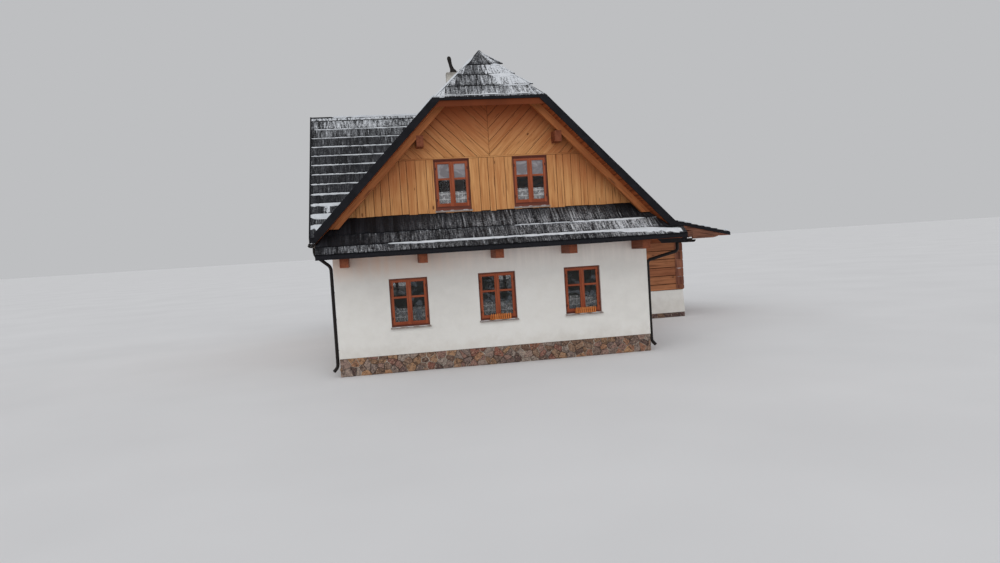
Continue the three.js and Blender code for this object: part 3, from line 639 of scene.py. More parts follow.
def even_rows(length, exposure=EXPOSURE):
    rows = round(length / exposure)
    return [length * i / rows for i in range(rows + 1)]


def row_height(rise, foot, exposure):
    """Height of a row's upper face, some way up it."""
    return lerp(BUTT[1], HEAD, (rise - foot) / (exposure + LAP))


def stretches(marks, spans):
    """Each row's number, foot and top, with the two ends of each stretch of it. Rows run
    between marks up the slope, and a span is (left, right, lowest, highest), the first two
    as functions of the way up."""
    for row, (foot, top) in enumerate(zip(marks, marks[1:])):
        for left, right, low, high in spans:
            if low <= (foot + top) / 2 <= high:
                yield row, foot, top, left, right


JOINT = (0.002, 0.006)
NARROWEST = 0.012
# How far the feet of the lowest row, and of the other rows, stand out of line
DRIP = ((0, 0.018), (-0.012, 0.012))
SHINGLE_FACES = [[4, 5, 6, 7], [3, 2, 1, 0], [0, 1, 5, 4], [1, 2, 6, 5], [2, 3, 7, 6], [3, 0, 4, 7]]


def lay_shingles(shape, slope, marks, spans, snow, seed, flare=None, fan=None):
    """Rows of narrow shingles. snow gives the cover at a place on a row, at the shingles'
    feet and heads; flare is how far a row's feet reach past its ends, and fan how much its
    shingles lean together."""
    rng = random.Random(seed)
    for row, foot, top, left, right in stretches(marks, spans):
        head = min(top + LAP, marks[-1])
        lean = fan(row) if fan else 0.0
        past_left, past_right = flare[row] if flare else (0, 0)
        lowest, highest = left(foot) - past_left, right(foot) + past_right
        a = min(lowest, left(head)) - rng.uniform(0, 0.05)
        end = max(highest, right(head))
        while a < end:
            b = a + rng.uniform(*SHINGLE_WIDTH)
            gap = rng.uniform(*JOINT)
            butt = rng.uniform(*BUTT)
            drip = rng.uniform(*DRIP[min(row, 1)])
            sides = (a + gap / 2, b - gap / 2)
            f0, f1 = [clamp(x, lowest, highest) for x in sides]
            h0, h1 = [clamp(x * (1 - lean), left(head), right(head)) for x in sides]
            tone = rng.random()
            low_cover, high_cover = snow((a + b) / 2, row)
            a = b
            if f1 - f0 < NARROWEST and h1 - h0 < NARROWEST:
                continue
            plan = [(f0, foot + drip), (f1, foot + drip), (h1, head), (h0, head)]
            points = [slope.at(x, s, 0.001) for x, s in plan]
            points += [slope.at(x, s, h) for (x, s), h in zip(plan, (butt, butt, HEAD, HEAD))]
            high_v = (head - foot) / (top - foot)
            uvs = [(0, 0), (1, 0), (1, high_v), (0, high_v)] * 2
            cover = [low_cover, low_cover, high_cover, high_cover] * 2
            shape.solid(points, SHINGLE_FACES, SHINGLES, tone=tone, uvs=uvs, snow=cover)


BANK_STEP = 0.11
BANK_HEIGHT = 0.03
THIN_BANK = 0.015


def lay_banks(shape, slope, marks, spans, bank, seed, sag=None):
    """Snow lying on each row against the butts of the next; bank gives how far down it lies,
    and sag how far it has slid from the butts."""
    for row, foot, top, left, right in stretches(marks, spans):
        start, end = left(top), right(top)
        steps = max(2, round((end - start) / BANK_STEP))
        ring = []
        for i in range(steps + 1):
            a = lerp(start, end, i / steps)
            ragged = 1 + 0.5 * wobble(a * 1.3, row * 3.1, seed) + 0.65 * wobble(a * 13.0, row, seed)
            reach = min(bank(a, row) * ragged, 0.97 * (top - foot))
            if reach > THIN_BANK:
                ring.append((a, reach, sag(a, row) if sag else 0.0))
            if ring and (reach <= THIN_BANK or i == steps):
                if len(ring) > 1:
                    add_bank(shape, slope, ring, foot, top)
                ring = []


def add_bank(shape, slope, places, foot, top):
    sections = []
    for i, (a, reach, slid) in enumerate(places):
        size = 0.35 if i in (0, len(places) - 1) else 1.0
        height = BANK_HEIGHT * size * clamp(0.55 + reach * 4, 0.6, 1.0)
        head = top + 0.004 - slid
        profile = [(head - reach * size, -0.003), (head - 0.8 * reach, height * 0.5),
                   (head - 0.45 * reach, height * 0.85), (head, height), (head, -0.003)]
        sections.append([slope.at(a, s, row_height(s, foot, top - foot) + h) for s, h in profile])
    shape.loft(sections, SNOW)


# Lengths: of a board over a ridge, of one over a verge, and of a step along an edge's snow
RIDGE_BOARD, CAP_BOARD, SNOW_STEP = 1.6, 2.4, 0.12


def ridge_boards(shape, start, end, out, angle, width=0.17, thickness=0.026, height=0.03):
    """A pair of boards over a ridge, lapped along it. They fall at an angle, first to one side
    and then to the other."""
    start, end = Vector(start), Vector(end)
    run = (end - start).normalized()
    pieces = max(1, round((end - start).length / RIDGE_BOARD))
    for side, hand in enumerate((-1, 1)):
        down = (Vector((*out, 0)) * hand * math.cos(angle) - UP * math.sin(angle)).normalized()
        off = down.cross(run)
        if off.z < 0:
            off = -off
        for i in range(pieces):
            a, b = start.lerp(end, i / pieces), start.lerp(end, (i + 1) / pieces)
            lift = off * (height + 0.004 * ((i + side) % 2))
            outline = [a + lift, b + lift, b + lift + down * width, a + lift + down * width]
            if (outline[1] - outline[0]).cross(outline[2] - outline[1]).dot(off) < 0:
                outline.reverse()
            tone = random.Random(i * 7 + side).random()
            shape.prism(outline, -off * thickness, BLACK, grain=run, tone=tone)


def snow_line(shape, start, end, width, height, seed, sink=0.004, ragged=0.9):
    """A ragged low ridge of snow along an edge."""
    start, end = Vector(start), Vector(end)
    side = (end - start).normalized().cross(UP).normalized()
    steps = max(3, round((end - start).length / SNOW_STEP))
    sections = []
    for i in range(steps + 1):
        p = start.lerp(end, i / steps)
        size = 0.25 if i in (0, steps) else clamp(0.8 + ragged * wobble(i * 0.31, seed, 2.0), 0.2, 1.5)
        w, h = width / 2 * size, height * size
        profile = ((-1, -sink), (1, -sink), (0.75, h * 0.6), (0, h), (-0.75, h * 0.6))
        sections.append([p + side * (w * x) + UP * z for x, z in profile])
    shape.loft(sections, SNOW)


CAP_WIDTH = 0.1
WING_CAP_WIDTH = 0.045
CAP_HEIGHT = 0.036
HIP_LENGTH = (RIDGE_Z - HIP_EAVE_Z) / math.sin(HIP_ANGLE)
LEAN_MEET = (RIDGE_Z - LEAN_EAVE_Z - math.tan(LEAN_ANGLE) * LEAN_EAST) / (
    math.tan(MAIN_ANGLE) - math.tan(LEAN_ANGLE))


def constant(value):
    return lambda up: value


def opposite(edge):
    return lambda up: -edge(up)


def scattered(base, drift, seed):
    """Cover that drifts about a mean along the rows."""
    return lambda a, row: (clamp(base + drift * wobble(a * 0.8, row * 1.7, seed), 0.0, 1.0),) * 2


def verge_cap(shape, slope, along, inward, start, end, width=CAP_WIDTH):
    """A board over the shingles' ends, from one place up the slope to another."""
    pieces = max(1, round((end - start) / CAP_BOARD))
    for i in range(pieces):
        a, b = lerp(start, end, i / pieces), lerp(start, end, (i + 1) / pieces)
        lift = CAP_HEIGHT - 0.004 * (i % 2)
        inner = along + inward * width
        outline = [slope.at(x, s, lift) for x, s in ((along, a), (inner, a), (inner, b), (along, b))]
        if inward < 0:
            outline.reverse()
        shape.prism(outline, -slope.normal * (lift - 0.001), BLACK, grain=slope.up)


# The snow beside the west verges: how far it lies in from the cap, and reaches below and
# above the hip's foot, with its width and height
VERGE_SNOW_IN, VERGE_SNOW_ENDS, VERGE_SNOW_SIZE = 0.07, (-0.72, 0.12), (0.2, 0.085)

# The chimney's middle, and how far on both sides of it the shingles stay away
CHIMNEY_Y = (CHIMNEY_LOW.y + CHIMNEY_HIGH.y) / 2
BY_CHIMNEY = (CHIMNEY_HIGH.y - CHIMNEY_LOW.y) / 2 + 0.01


def main_spans(hand, slope, length):
    """The stretches of a main slope: beside the cross gable or the lean-to, above them, and on
    both sides of the chimney. They end at the verge cap, and further up at the hip."""
    def edge(up):
        return min(BARGE_FACE - CAP_WIDTH, hip_reach(slope.z(up)) - 0.03)

    def valley(up):
        return max(0.0, wing_reach(slope.z(up))) + 0.015

    start = opposite(edge)
    if hand < 0:
        split = (WING_RIDGE_Z - slope.eave.z) / slope.rise
        low_spans = [(start, opposite(valley), 0, split), (valley, edge, 0, split)]
    else:
        split = (EAST_EAVE - LEAN_MEET) / math.cos(MAIN_ANGLE)
        low_spans = [(start, constant(LEAN_SOUTH - 0.01), 0, split),
                     (constant(LEAN_NORTH + 0.01), edge, 0, split)]
    middle = hand * CHIMNEY_Y
    high = length - BY_CHIMNEY / math.cos(MAIN_ANGLE)
    return low_spans + [
        (start, edge, split, high),
        (start, constant(middle - BY_CHIMNEY), high, length),
        (constant(middle + BY_CHIMNEY), edge, high, length),
    ]


def make_main_roof():
    for hand, side, reach in ((-1, "west", WEST_EAVE), (1, "east", EAST_EAVE)):
        slope = Slope((hand, 0), MAIN_ANGLE, reach, main_top(reach))
        length = reach / math.cos(MAIN_ANGLE)
        marks, spans = even_rows(length), main_spans(hand, slope, length)
        shape = Shape()
        lay_shingles(shape, slope, marks, spans, scattered(0.2, 0.22, hand), seed=11 + hand)
        lay_banks(shape, slope, marks, spans,
                  lambda a, row: 0.05 + 0.09 * wobble(a * 0.5, row * 0.9, hand * 3.0), seed=hand)
        corner = (HIP_EAVE_Z - slope.eave.z) / slope.rise
        for sign in (-1, 1):
            verge_cap(shape, slope, sign * BARGE_FACE, -sign, 0.0, corner)
            if hand < 0:
                beside = sign * (BARGE_FACE - CAP_WIDTH - VERGE_SNOW_IN)
                ends = [slope.at(beside, corner + up, 0.03) for up in VERGE_SNOW_ENDS]
                snow_line(shape, *ends, *VERGE_SNOW_SIZE, 8.0 + sign, ragged=0.6)
        if hand < 0:
            dress_main_ridge(shape)
        shape.build(f"main_roof_{side}_shingles")


def dress_main_ridge(shape):
    apex, gap = hip_reach(RIDGE_Z) - 0.02, BY_CHIMNEY + 0.01
    for y0, y1 in ((-apex, CHIMNEY_Y - gap), (CHIMNEY_Y + gap, apex)):
        ridge_boards(shape, (0, y0, RIDGE_Z), (0, y1, RIDGE_Z), (1, 0), MAIN_ANGLE)
        snow_line(shape, (0, y0, RIDGE_Z + 0.03), (0, y1, RIDGE_Z + 0.03), 0.12, 0.025, y0)


# Cover along the rows of the half hip, from the eave up: white along its left edge, and on
# the right of the middle rows
HIP_COVER = (
    ((-1.12, 0.8), (-1.02, 0.28), (0.1, 0.31), (0.6, 0.38), (1.0, 0.5), (1.3, 0.65)),
    ((-0.98, 0.8), (-0.86, 0.27), (-0.5, 0.24), (-0.15, 0.3), (0.15, 0.5), (0.4, 1.5), (0.8, 1.8)),
    ((-0.66, 0.75), (-0.54, 0.3), (-0.35, 0.2), (-0.15, 0.24), (0.02, 0.7), (0.15, 2.4)),
    ((-0.4, 0.33), (-0.1, 0.2), (0.2, 0.36), (0.3, 0.7)),
)
HIP_BANK = (0.03, 0.1, 0.1, 0)
HIP_FLARE = ((0, 0.025), (0.03, 0.1), (0, 0.03), (0, 0.098))


def hip_cover(a, row):
    level = graded(a, HIP_COVER[row])
    return (level * 1.3, level * 0.85) if row == 0 else (level, level)


def make_half_hips():
    marks = [*HIP_ROWS, HIP_LENGTH]
    for sign, side in ((-1, "front"), (1, "rear")):
        slope = Slope((0, sign), HIP_ANGLE, VERGE, HIP_EAVE_Z)

        def reach(up, slope=slope):
            return max(0.0, main_reach(slope.z(up)))
        spans = [(opposite(reach), reach, 0, HIP_LENGTH)]
        shape = Shape()
        lay_shingles(shape, slope, marks, spans, hip_cover, flare=HIP_FLARE,
                     fan=lambda row: 0.03 + 0.25 * (row / 3) ** 3, seed=31 + sign)
        lay_banks(shape, slope, marks, spans, lambda a, row: HIP_BANK[row] * smooth(-0.1, 0.6, a), 5.0)
        eave = [slope.at(a, 0.05, 0.026) for a in (-reach(0) + 0.1, reach(0) + 0.02)]
        snow_line(shape, *eave, 0.08, 0.026, 3.0, ragged=2.4)
        foot, head = slope.at(-reach(0), 0, 0.02), slope.at(0, HIP_LENGTH, 0.02)
        snow_line(shape, foot, foot.lerp(head, 0.86), 0.09, 0.026, 4.0, ragged=1.6)
        shape.build(f"{side}_half_hip_shingles")


# Cover and banks on the rows of the cross gable, from the eave up, where its ridge's snow
# starts, and what its upper rows have more or less of along them
WING_COVER = (0.15, 0.16, 0.115, 0.105, 0.105, 0.105, 0.105, 0.105, 0.11, 0.12, 0.23, 0.46, 0.56, 0.8)
WING_BANK = (0.24, 0.22, 0.12, 0.06, 0.045, 0.04, 0.04, 0.035, 0.035, 0.03, 0.03, 0, 0, 0)
WING_RIDGE_SNOW = -4.25
WING_DRIFT = ((-4.7, -0.12), (-4.1, 0.16), (-3.1, 0.14), (-2.1, -0.12))


def wing_cover(a, row):
    if row in (1, 2) and wobble(a * 9.0, row * 7.7) > 0.42:
        return (0.7, 0.7)
    drift = graded(-abs(a), WING_DRIFT) if row > 10 else 0.0
    level = clamp(WING_COVER[row] * (1 + 0.3 * wobble(a, row * 2.0)) + drift, 0, 1)
    return (level, 0.9 * level)


def make_wing_roof():
    eave_z = main_top(WEST_EAVE)
    reach = wing_reach(eave_z)
    length = reach / math.cos(WING_ANGLE)
    marks = [0, *[WING_FIRST + WING_EXPOSURE * i for i in range(12)], length - WING_TOP_ROW, length]
    for sign, side in ((-1, "south"), (1, "north")):
        slope = Slope((0, sign), WING_ANGLE, reach, eave_z)

        def valley(up, slope=slope):
            return -main_reach(min(slope.z(up), WING_RIDGE_Z)) - 0.015
        if sign < 0:
            spans = [(constant(WING_CAP_WIDTH - WING_VERGE), valley, 0, length)]
        else:
            spans = [(opposite(valley), constant(WING_VERGE - WING_CAP_WIDTH), 0, length)]
        shape = Shape()
        lay_shingles(shape, slope, marks, spans, wing_cover, seed=51 + sign)
        lay_banks(shape, slope, marks, spans, lambda a, row: WING_BANK[row], seed=9.0 + sign)
        verge_cap(shape, slope, sign * WING_VERGE, -sign, 0.0, length, WING_CAP_WIDTH)
        if sign < 0:
            dress_wing_ridge(shape)
        shape.build(f"cross_gable_{side}_shingles")


def dress_wing_ridge(shape):
    end, top = -main_reach(WING_RIDGE_Z), WING_RIDGE_Z + 0.012
    ridge_boards(shape, (-WING_VERGE, 0, WING_RIDGE_Z), (end - 0.05, 0, WING_RIDGE_Z), (0, 1),
                 WING_ANGLE, width=0.06, thickness=0.014, height=0.02)
    snow_line(shape, (WING_RIDGE_SNOW, -0.012, top), (end - 0.2, -0.012, top), 0.15, 0.03, 6.0, 0.05, 0.6)


# Cover along the rows of a pent roof, from the eave up, and how much less of it lies at the
# shingles' heads
PENT_COVER = (
    ((-4.4, 0.1), (-3.4, 0.24), (-2, 0.2), (-0.3, 0.12), (2.4, 0.18), (3.6, 0.28), (4.3, 0.34),
     (4.5, 0.12), (4.9, 0.08)),
    ((-4, 0.03), (-2.6, 0.17), (0.5, 0.2), (1.5, 0.28), (3.6, 0.5), (4.0, 0.38), (4.5, 0.06)),
    ((-3.4, 0.03), (-2.4, 0.09), (-0.8, 0.25), (1.2, 0.35), (2.6, 0.35), (3.6, 0.13)),
)
PENT_FALL = (0.8, 1.0, 0.35)
# Banks on the two lower rows: reach, with where it starts and is full
PENT_BANK = (
    ((0.06, -3.4, -1.8), (0.11, 2.4, 4.2), (-0.2, 4.86, 4.93)),
    ((0.024, -0.2, 0.8), (0.03, 1.5, 3.0), (-0.04, 3.6, 4.1)),
    (),
)
# The board under the pent roof's eave: how far it hangs down, and where it starts to taper
PENT_BOARD, PENT_TAPER, PENT_END = 0.026, 2.6, 0.004


def pent_cover(x, row):
    """More snow at the feet of the lowest row, and less near the wall."""
    level = graded(x, PENT_COVER[row])
    return (level * (1.3 if row == 0 else 1.0), level * PENT_FALL[row])


def pent_bank(x, row):
    return sum(reach * smooth(start, full, x) for reach, start, full in PENT_BANK[row])


def pent_sag(x, row):
    return 0.1 * smooth(3.9, 4.7, x) if row == 0 else 0.0


def make_pent_roofs():
    length = (PENT_EAVE - HALF_LENGTH) / math.cos(PENT_ANGLE) - 0.01
    marks = [*PENT_ROWS, length]
    for sign, side in ((-1, "front"), (1, "rear")):
        slope = Slope((0, sign), PENT_ANGLE, PENT_EAVE, PENT_EAVE_Z)

        def under_main(up, slope=slope):
            if PENT_EAVE - up * math.cos(PENT_ANGLE) > VERGE:
                return PENT_EAST
            return main_reach(slope.z(up) + ROOF_DEPTH) - 0.02

        ends = (PENT_WEST, PENT_EAST) if sign < 0 else (PENT_EAST, PENT_WEST)
        left, right = [lambda up, end=end: min(end - 0.003, under_main(up)) for end in ends]
        spans = [(opposite(left), right, 0, length)]
        shape = Shape()
        lay_shingles(shape, slope, marks, spans, lambda a, row: pent_cover(-sign * a, row), seed=71 + sign)
        lay_banks(shape, slope, marks, spans, lambda a, row: pent_bank(-sign * a, row), seed=12.0,
                  sag=lambda a, row: pent_sag(-sign * a, row))
        low, face = PENT_EAVE_Z - PENT_DEPTH, sign * (PENT_EAVE - 0.002)
        outline = [(x, face, low + z) for x, z in (
            (-PENT_WEST, -PENT_BOARD), (PENT_TAPER, -PENT_BOARD), (PENT_EAST, -PENT_END),
            (PENT_EAST, 0.002), (-PENT_WEST, 0.002))]
        if sign > 0:
            outline.reverse()
        shape.prism(outline, (0, -0.028 * sign, 0), BLACK)
        shape.build(f"{side}_pent_shingles")


# Where the lean-to's lowest row starts, and how many flecks of snow lie along its south edge
LEAN_FOOT, LEAN_FLECKS = 0.01, 9


def make_lean_to():
    slope = Slope((1, 0), LEAN_ANGLE, LEAN_EAST, LEAN_EAVE_Z)
    length = (LEAN_EAST - LEAN_MEET) / math.cos(LEAN_ANGLE)
    marks = even_rows(length, LEAN_EXPOSURE)
    marks[0] = LEAN_FOOT
    spans = [(constant(LEAN_SOUTH), constant(LEAN_NORTH), 0, length)]
    shape = Shape()
    lay_shingles(shape, slope, marks, spans, scattered(0.26, 0.22, 5.0), seed=91)
    lay_banks(shape, slope, marks, spans,
              lambda a, row: 0.06 + 0.05 * wobble(a * 0.7, row, 4.0), seed=15.0)
    for k in range(LEAN_FLECKS):
        shares = (0.1, 0.3 + 0.3 * (k % 3))
        ends = [slope.at(LEAN_SOUTH + 0.04, length * (k + share) / LEAN_FLECKS, 0.044)
                for share in shares]
        snow_line(shape, *ends, 0.076, 0.05, 21.0 + k, 0.014, 0.8)
    shape.build("lean_to_shingles")


# Timbers under the lean-to's edge: widths and depths
RAFTERS, RAFTER_WIDTH, RAFTER_DEPTH = 8, 0.12, 0.13
PLATE_DEPTH = 0.18
BRACKET_WIDTH, BRACKET_FOOT, BRACKET_REACH = 0.1, 2.96, 0.8


def under_lean(x):
    return lean_top(x) - LEAN_DEPTH - 0.002


def make_lean_to_timbers():
    shape = Shape()
    near, tail = EAST_EAVE + 0.02, LEAN_EAST - 0.42
    for i in range(RAFTERS):
        y = lerp(LEAN_SOUTH + 0.03, LEAN_NORTH - 0.15, i / (RAFTERS - 1))
        x0 = near if i in (0, RAFTERS - 1) else ANNEX_FACE + 0.002
        outline = [(x0, y, under_lean(x0) - RAFTER_DEPTH), (tail - 0.06, y, under_lean(tail) - 0.12),
                   (tail, y, under_lean(tail)), (x0, y, under_lean(x0))]
        shape.prism(outline, (0, RAFTER_WIDTH, 0), EAVE_TIMBER, tone=i / RAFTERS)
    # Plates run out from the log wall under the outer rafters, each with a bracket on its end
    x0, x1 = ANNEX_FACE - 0.2, ANNEX_FACE + 0.002
    plate = under_lean(x1) - RAFTER_DEPTH - 0.001
    for y0, y1, outer in ((LEAN_SOUTH + 0.03, ANNEX_LOW.y - 0.032, LEAN_SOUTH + 0.03),
                          (ANNEX_HIGH.y + 0.032, LEAN_NORTH - 0.03, LEAN_NORTH - 0.13)):
        shape.box((x0, y0, plate - PLATE_DEPTH), (x1, y1, plate), EAVE_TIMBER,
                  grain=(0, 1, 0), tone=0.3)
        outline = [(x1, outer, BRACKET_FOOT), (x1 + BRACKET_REACH, outer, BRACKET_FOOT),
                   (tail - 0.1, outer, under_lean(tail) - 0.122), (x1, outer, plate - 0.002)]
        shape.prism(outline, (0, BRACKET_WIDTH, 0), EAVE_TIMBER, tone=0.15)
    shape.build("lean_to_rafters", bevel=0.006)


make_main_roof()
make_half_hips()
make_wing_roof()
make_pent_roofs()
make_lean_to()
make_lean_to_timbers()


# Boarded gables

BOARD = 0.026
BOARD_PITCH = 0.225
SLANT_PITCH = (0.17, 0.25)
SLANT_JOINTS = (0.0015, 0.003, 0.006)
RAIL_Z = 5.475
RAIL_GAP, RAIL_TOP = 0.006, 0.036
BOARD_FOOT = 4.085
WALL_FOOT = 3.1
FAR = 6.0
UPRIGHT = (0, 0, 1)


def board_lanes(start, end, pitch, rng):
    """Joints between boards of about one width, from start to end."""
    count = max(1, round((end - start) / pitch))
    inner = [lerp(start, end, (i + rng.uniform(-0.16, 0.16)) / count) for i in range(1, count)]
    return [start, *inner, end]


def board(shape, outline, finish, grain, rng, thickness=BOARD, tone=None):
    front = [(p[0], -thickness, p[1]) for p in outline]
    shape.prism(front, (0, thickness, 0), finish, grain=grain,
                tone=rng.random() if tone is None else tone)


def upright_boards(shape, roof, half, windows, foot, rng):
    """Boards up to the rail, cut round the windows."""
    stops = [-half, *[x for window in windows for x in window[:2]], half]
    for i, (start, end) in enumerate(zip(stops, stops[1:])):
        sill, head = windows[i // 2][2:] if i % 2 else (RAIL_Z, RAIL_Z)
        lanes = board_lanes(start, end, BOARD_PITCH, rng)
        for x0, x1 in zip(lanes, lanes[1:]):
            gap = rng.uniform(0.003, 0.007)
            low = foot + rng.uniform(-0.014, 0.014)
            outline = rectangle(x0 + gap, x1 - gap, low, sill)
            board(shape, clip_to(outline, roof), BOARDS, UPRIGHT, rng)
            if head < RAIL_Z - 0.02:
                outline = rectangle(x0 + gap, x1 - gap, head, RAIL_Z)
                board(shape, clip_to(outline, roof), BOARDS, UPRIGHT, rng)


def slanted_boards(shape, roof, half, apex_x, rng):
    """Boards laid in a V from the rail up. The right half starts with the gap that the left
    half ends with."""
    low, gap = RAIL_Z + 0.04, RAIL_GAP
    for hand in (-1, 1):
        near, far = apex_x + hand * gap, apex_x + hand * (half + 1)
        side = rectangle(near, far, low, 2 * FAR)
        zone = clip_to(side if hand > 0 else side[::-1], roof)
        lane = -half
        while lane < 5.0 and len(zone) > 2:
            wide, gap = rng.uniform(*SLANT_PITCH), rng.choice(SLANT_JOINTS)
            z0, z1 = [low + (lane + across) * math.sqrt(2) for across in (gap, wide - gap)]
            far = apex_x + hand * FAR
            strip = [(apex_x, z0), (far, z0 + FAR), (far, z1 + FAR), (apex_x, z1)]
            cut = clip_to(strip if hand > 0 else strip[::-1], zone)
            if len(cut) > 2:
                board(shape, cut, BOARDS, (hand, 0, 1), rng)
            lane += wide


def make_gable(name, matrix, roof, windows, foot, seed, apex_x=0.0):
    rng = random.Random(seed)
    shape = Shape()
    half = max(x for x, z in roof)
    upright_boards(shape, roof, half, windows, foot, rng)
    rail = rectangle(-half, half, RAIL_Z + RAIL_GAP, RAIL_Z + RAIL_TOP)
    board(shape, clip_to(rail, roof), BOARDS, (1, 0, 0), rng, BOARD + 0.01, tone=0.1)
    slanted_boards(shape, roof, half, apex_x, rng)
    shape.build(name, matrix, bevel=0.004)


def opening(node, across):
    """A window's opening in its wall: left, right, sill and head."""
    low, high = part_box(node)
    return (low[across], high[across], low.z, high.z)


def make_gables():
    under = ROOF_DEPTH + FREE
    top = HIP_EAVE_Z + math.tan(HIP_ANGLE) * (VERGE - HALF_LENGTH) - under
    neck, eave = main_reach(top + under), main_top(HALF_WIDTH) - under
    roof = [(-HALF_WIDTH, WALL_FOOT), (HALF_WIDTH, WALL_FOOT), (HALF_WIDTH, eave),
            (neck, top), (-neck, top), (-HALF_WIDTH, eave)]
    windows = [opening(f"front_gable_window_{side}", 0) for side in ("west", "east")]
    make_gable("front_gable_boards", turned(0, y=FRONT), roof, windows, BOARD_FOOT, 3, 0.03)
    windows = [opening("rear_gable_window", 0)]
    make_gable("rear_gable_boards", turned(math.pi, y=-FRONT), roof, windows, BOARD_FOOT, 4)
    reach = wing_reach(main_top(HALF_WIDTH))
    roof = [(-reach, WALL_FOOT), (reach, WALL_FOOT), (reach, eave),
            (0, WING_RIDGE_Z - under), (-reach, eave)]
    windows = [opening("west_gable_window", 1)]
    make_gable("west_gable_boards", turned(-math.pi / 2, x=-HALF_WIDTH), roof, windows, WALL_FOOT, 5)


make_gables()


# Windows and door

SILL_REACH = 0.06
SILL_SIDE, SILL_LIP = 0.025, 0.03
FRAME_FOOT = 0.02
FRAME_DEPTH = 0.07
JAMB = 0.055
REBATE = 0.012
CASEMENT_DEPTH = 0.05
STILE = 0.06
LOW_RAIL = 0.07
BAR = 0.05
BAR_PLACE = 0.385
COVER_STRIP = 0.022
# How deep the frames stand in the walls. The gable windows' sills lie deeper by an apron,
# and have a strip over their heads
BACK, HIGH_BACK = 0.06, 0.01
APRON, HEAD_STRIP = 0.048, 0.024

WINDOWS = {
    "front_window_west": 0, "front_window_middle": 0, "front_window_east": 0,
    "front_gable_window_west": 0, "front_gable_window_east": 0,
    "rear_window_west": math.pi, "rear_window_east": math.pi, "rear_gable_window": math.pi,
    "west_window_south": -math.pi / 2, "west_window_north": -math.pi / 2,
    "west_gable_window": -math.pi / 2, "east_window": math.pi / 2,
}
FLOWER_GUARDS = ("front_window_middle", "front_window_east")


def window_frame(node, turn):
    """Matrix to a window's own frame, whose origin is at the middle of its sill on the wall's
    face, and the width and height of its opening."""
    low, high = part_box(node)
    across, out = [Matrix.Rotation(turn, 3, "Z") @ Vector(axis) for axis in ((1, 0, 0), (0, -1, 0))]
    depth, width = [abs((high - low).dot(axis)) for axis in (out, across)]
    face = (low + high) / 2 + out * (depth / 2 - SILL_REACH)
    return turned(turn, face.x, face.y, low.z), width, high.z - low.z


def frame_ring(shape, x0, x1, z0, z1, y0, y1, sides, low=None, finish=JOINERY):
    """A frame of two stiles and two rails."""
    shape.box((x0, y0, z0), (x0 + sides, y1, z1), finish, grain=UPRIGHT, tone=0.2)
    shape.box((x1 - sides, y0, z0), (x1, y1, z1), finish, grain=UPRIGHT, tone=0.5)
    shape.box((x0 + sides, y0, z0), (x1 - sides, y1, z0 + (low or sides)), finish, tone=0.8)
    shape.box((x0 + sides, y0, z1 - sides), (x1 - sides, y1, z1), finish, tone=0.3)


def add_casement(shape, hand, half, top, y0, pane):
    """One casement with its bar, pane, weather strip and hinges."""
    x0, x1 = sorted((hand * 0.004, hand * (half - JAMB + REBATE)))
    z0, z1 = FRAME_FOOT + JAMB - REBATE, top - JAMB + REBATE
    y1 = y0 + CASEMENT_DEPTH
    frame_ring(shape, x0, x1, z0, z1, y0, y1, STILE, LOW_RAIL)
    left, right = x0 + STILE, x1 - STILE
    bar = lerp(z1, z0, BAR_PLACE)
    shape.box((left, y0 + 0.008, bar - BAR / 2), (right, y1 - 0.008, bar + BAR / 2), JOINERY, tone=0.6)
    shape.box((left - 0.01, y0 + 0.022, z0 + 0.06), (right + 0.01, y0 + 0.028, z1 - 0.05), pane)
    shape.box((left, y0 - 0.006, z0 + 0.062), (right, y0 + 0.012, z0 + 0.085), JOINERY, tone=0.7)
    x = hand * (half - JAMB + 0.004)
    for share in (0.15, 0.85):
        z = lerp(z0, z1, share)
        shape.box((x - 0.007, y0 - 0.008, z - 0.035), (x + 0.007, y0 + 0.002, z + 0.035), METAL)


def add_sill(shape, half, back, foot, inner, with_snow):
    """A sheet metal sill with its lip, and on the front a little snow on it."""
    wide = half + SILL_SIDE
    profile = ((-SILL_REACH, foot), (inner, foot + 0.016), (inner, foot + 0.004),
               (-SILL_REACH, foot - 0.012))
    shape.prism([(-wide, y, z) for y, z in profile], (2 * wide, 0, 0), SILL_METAL)
    shape.box((-half, 0.0, 0.001), (half, back + 0.03, 0.022), SILL_METAL)
    shape.box((-wide, -SILL_REACH, foot - SILL_LIP), (wide, -SILL_REACH + 0.003, foot - 0.001), SILL_METAL)
    for k in range(3 if with_snow else 0):
        x0 = lerp(-wide, wide, k / 3) + 0.03
        ends = [(x, -SILL_REACH / 2, foot + 0.009) for x in (x0, x0 + 0.22)]
        snow_line(shape, *ends, 0.045, 0.012, k + half)


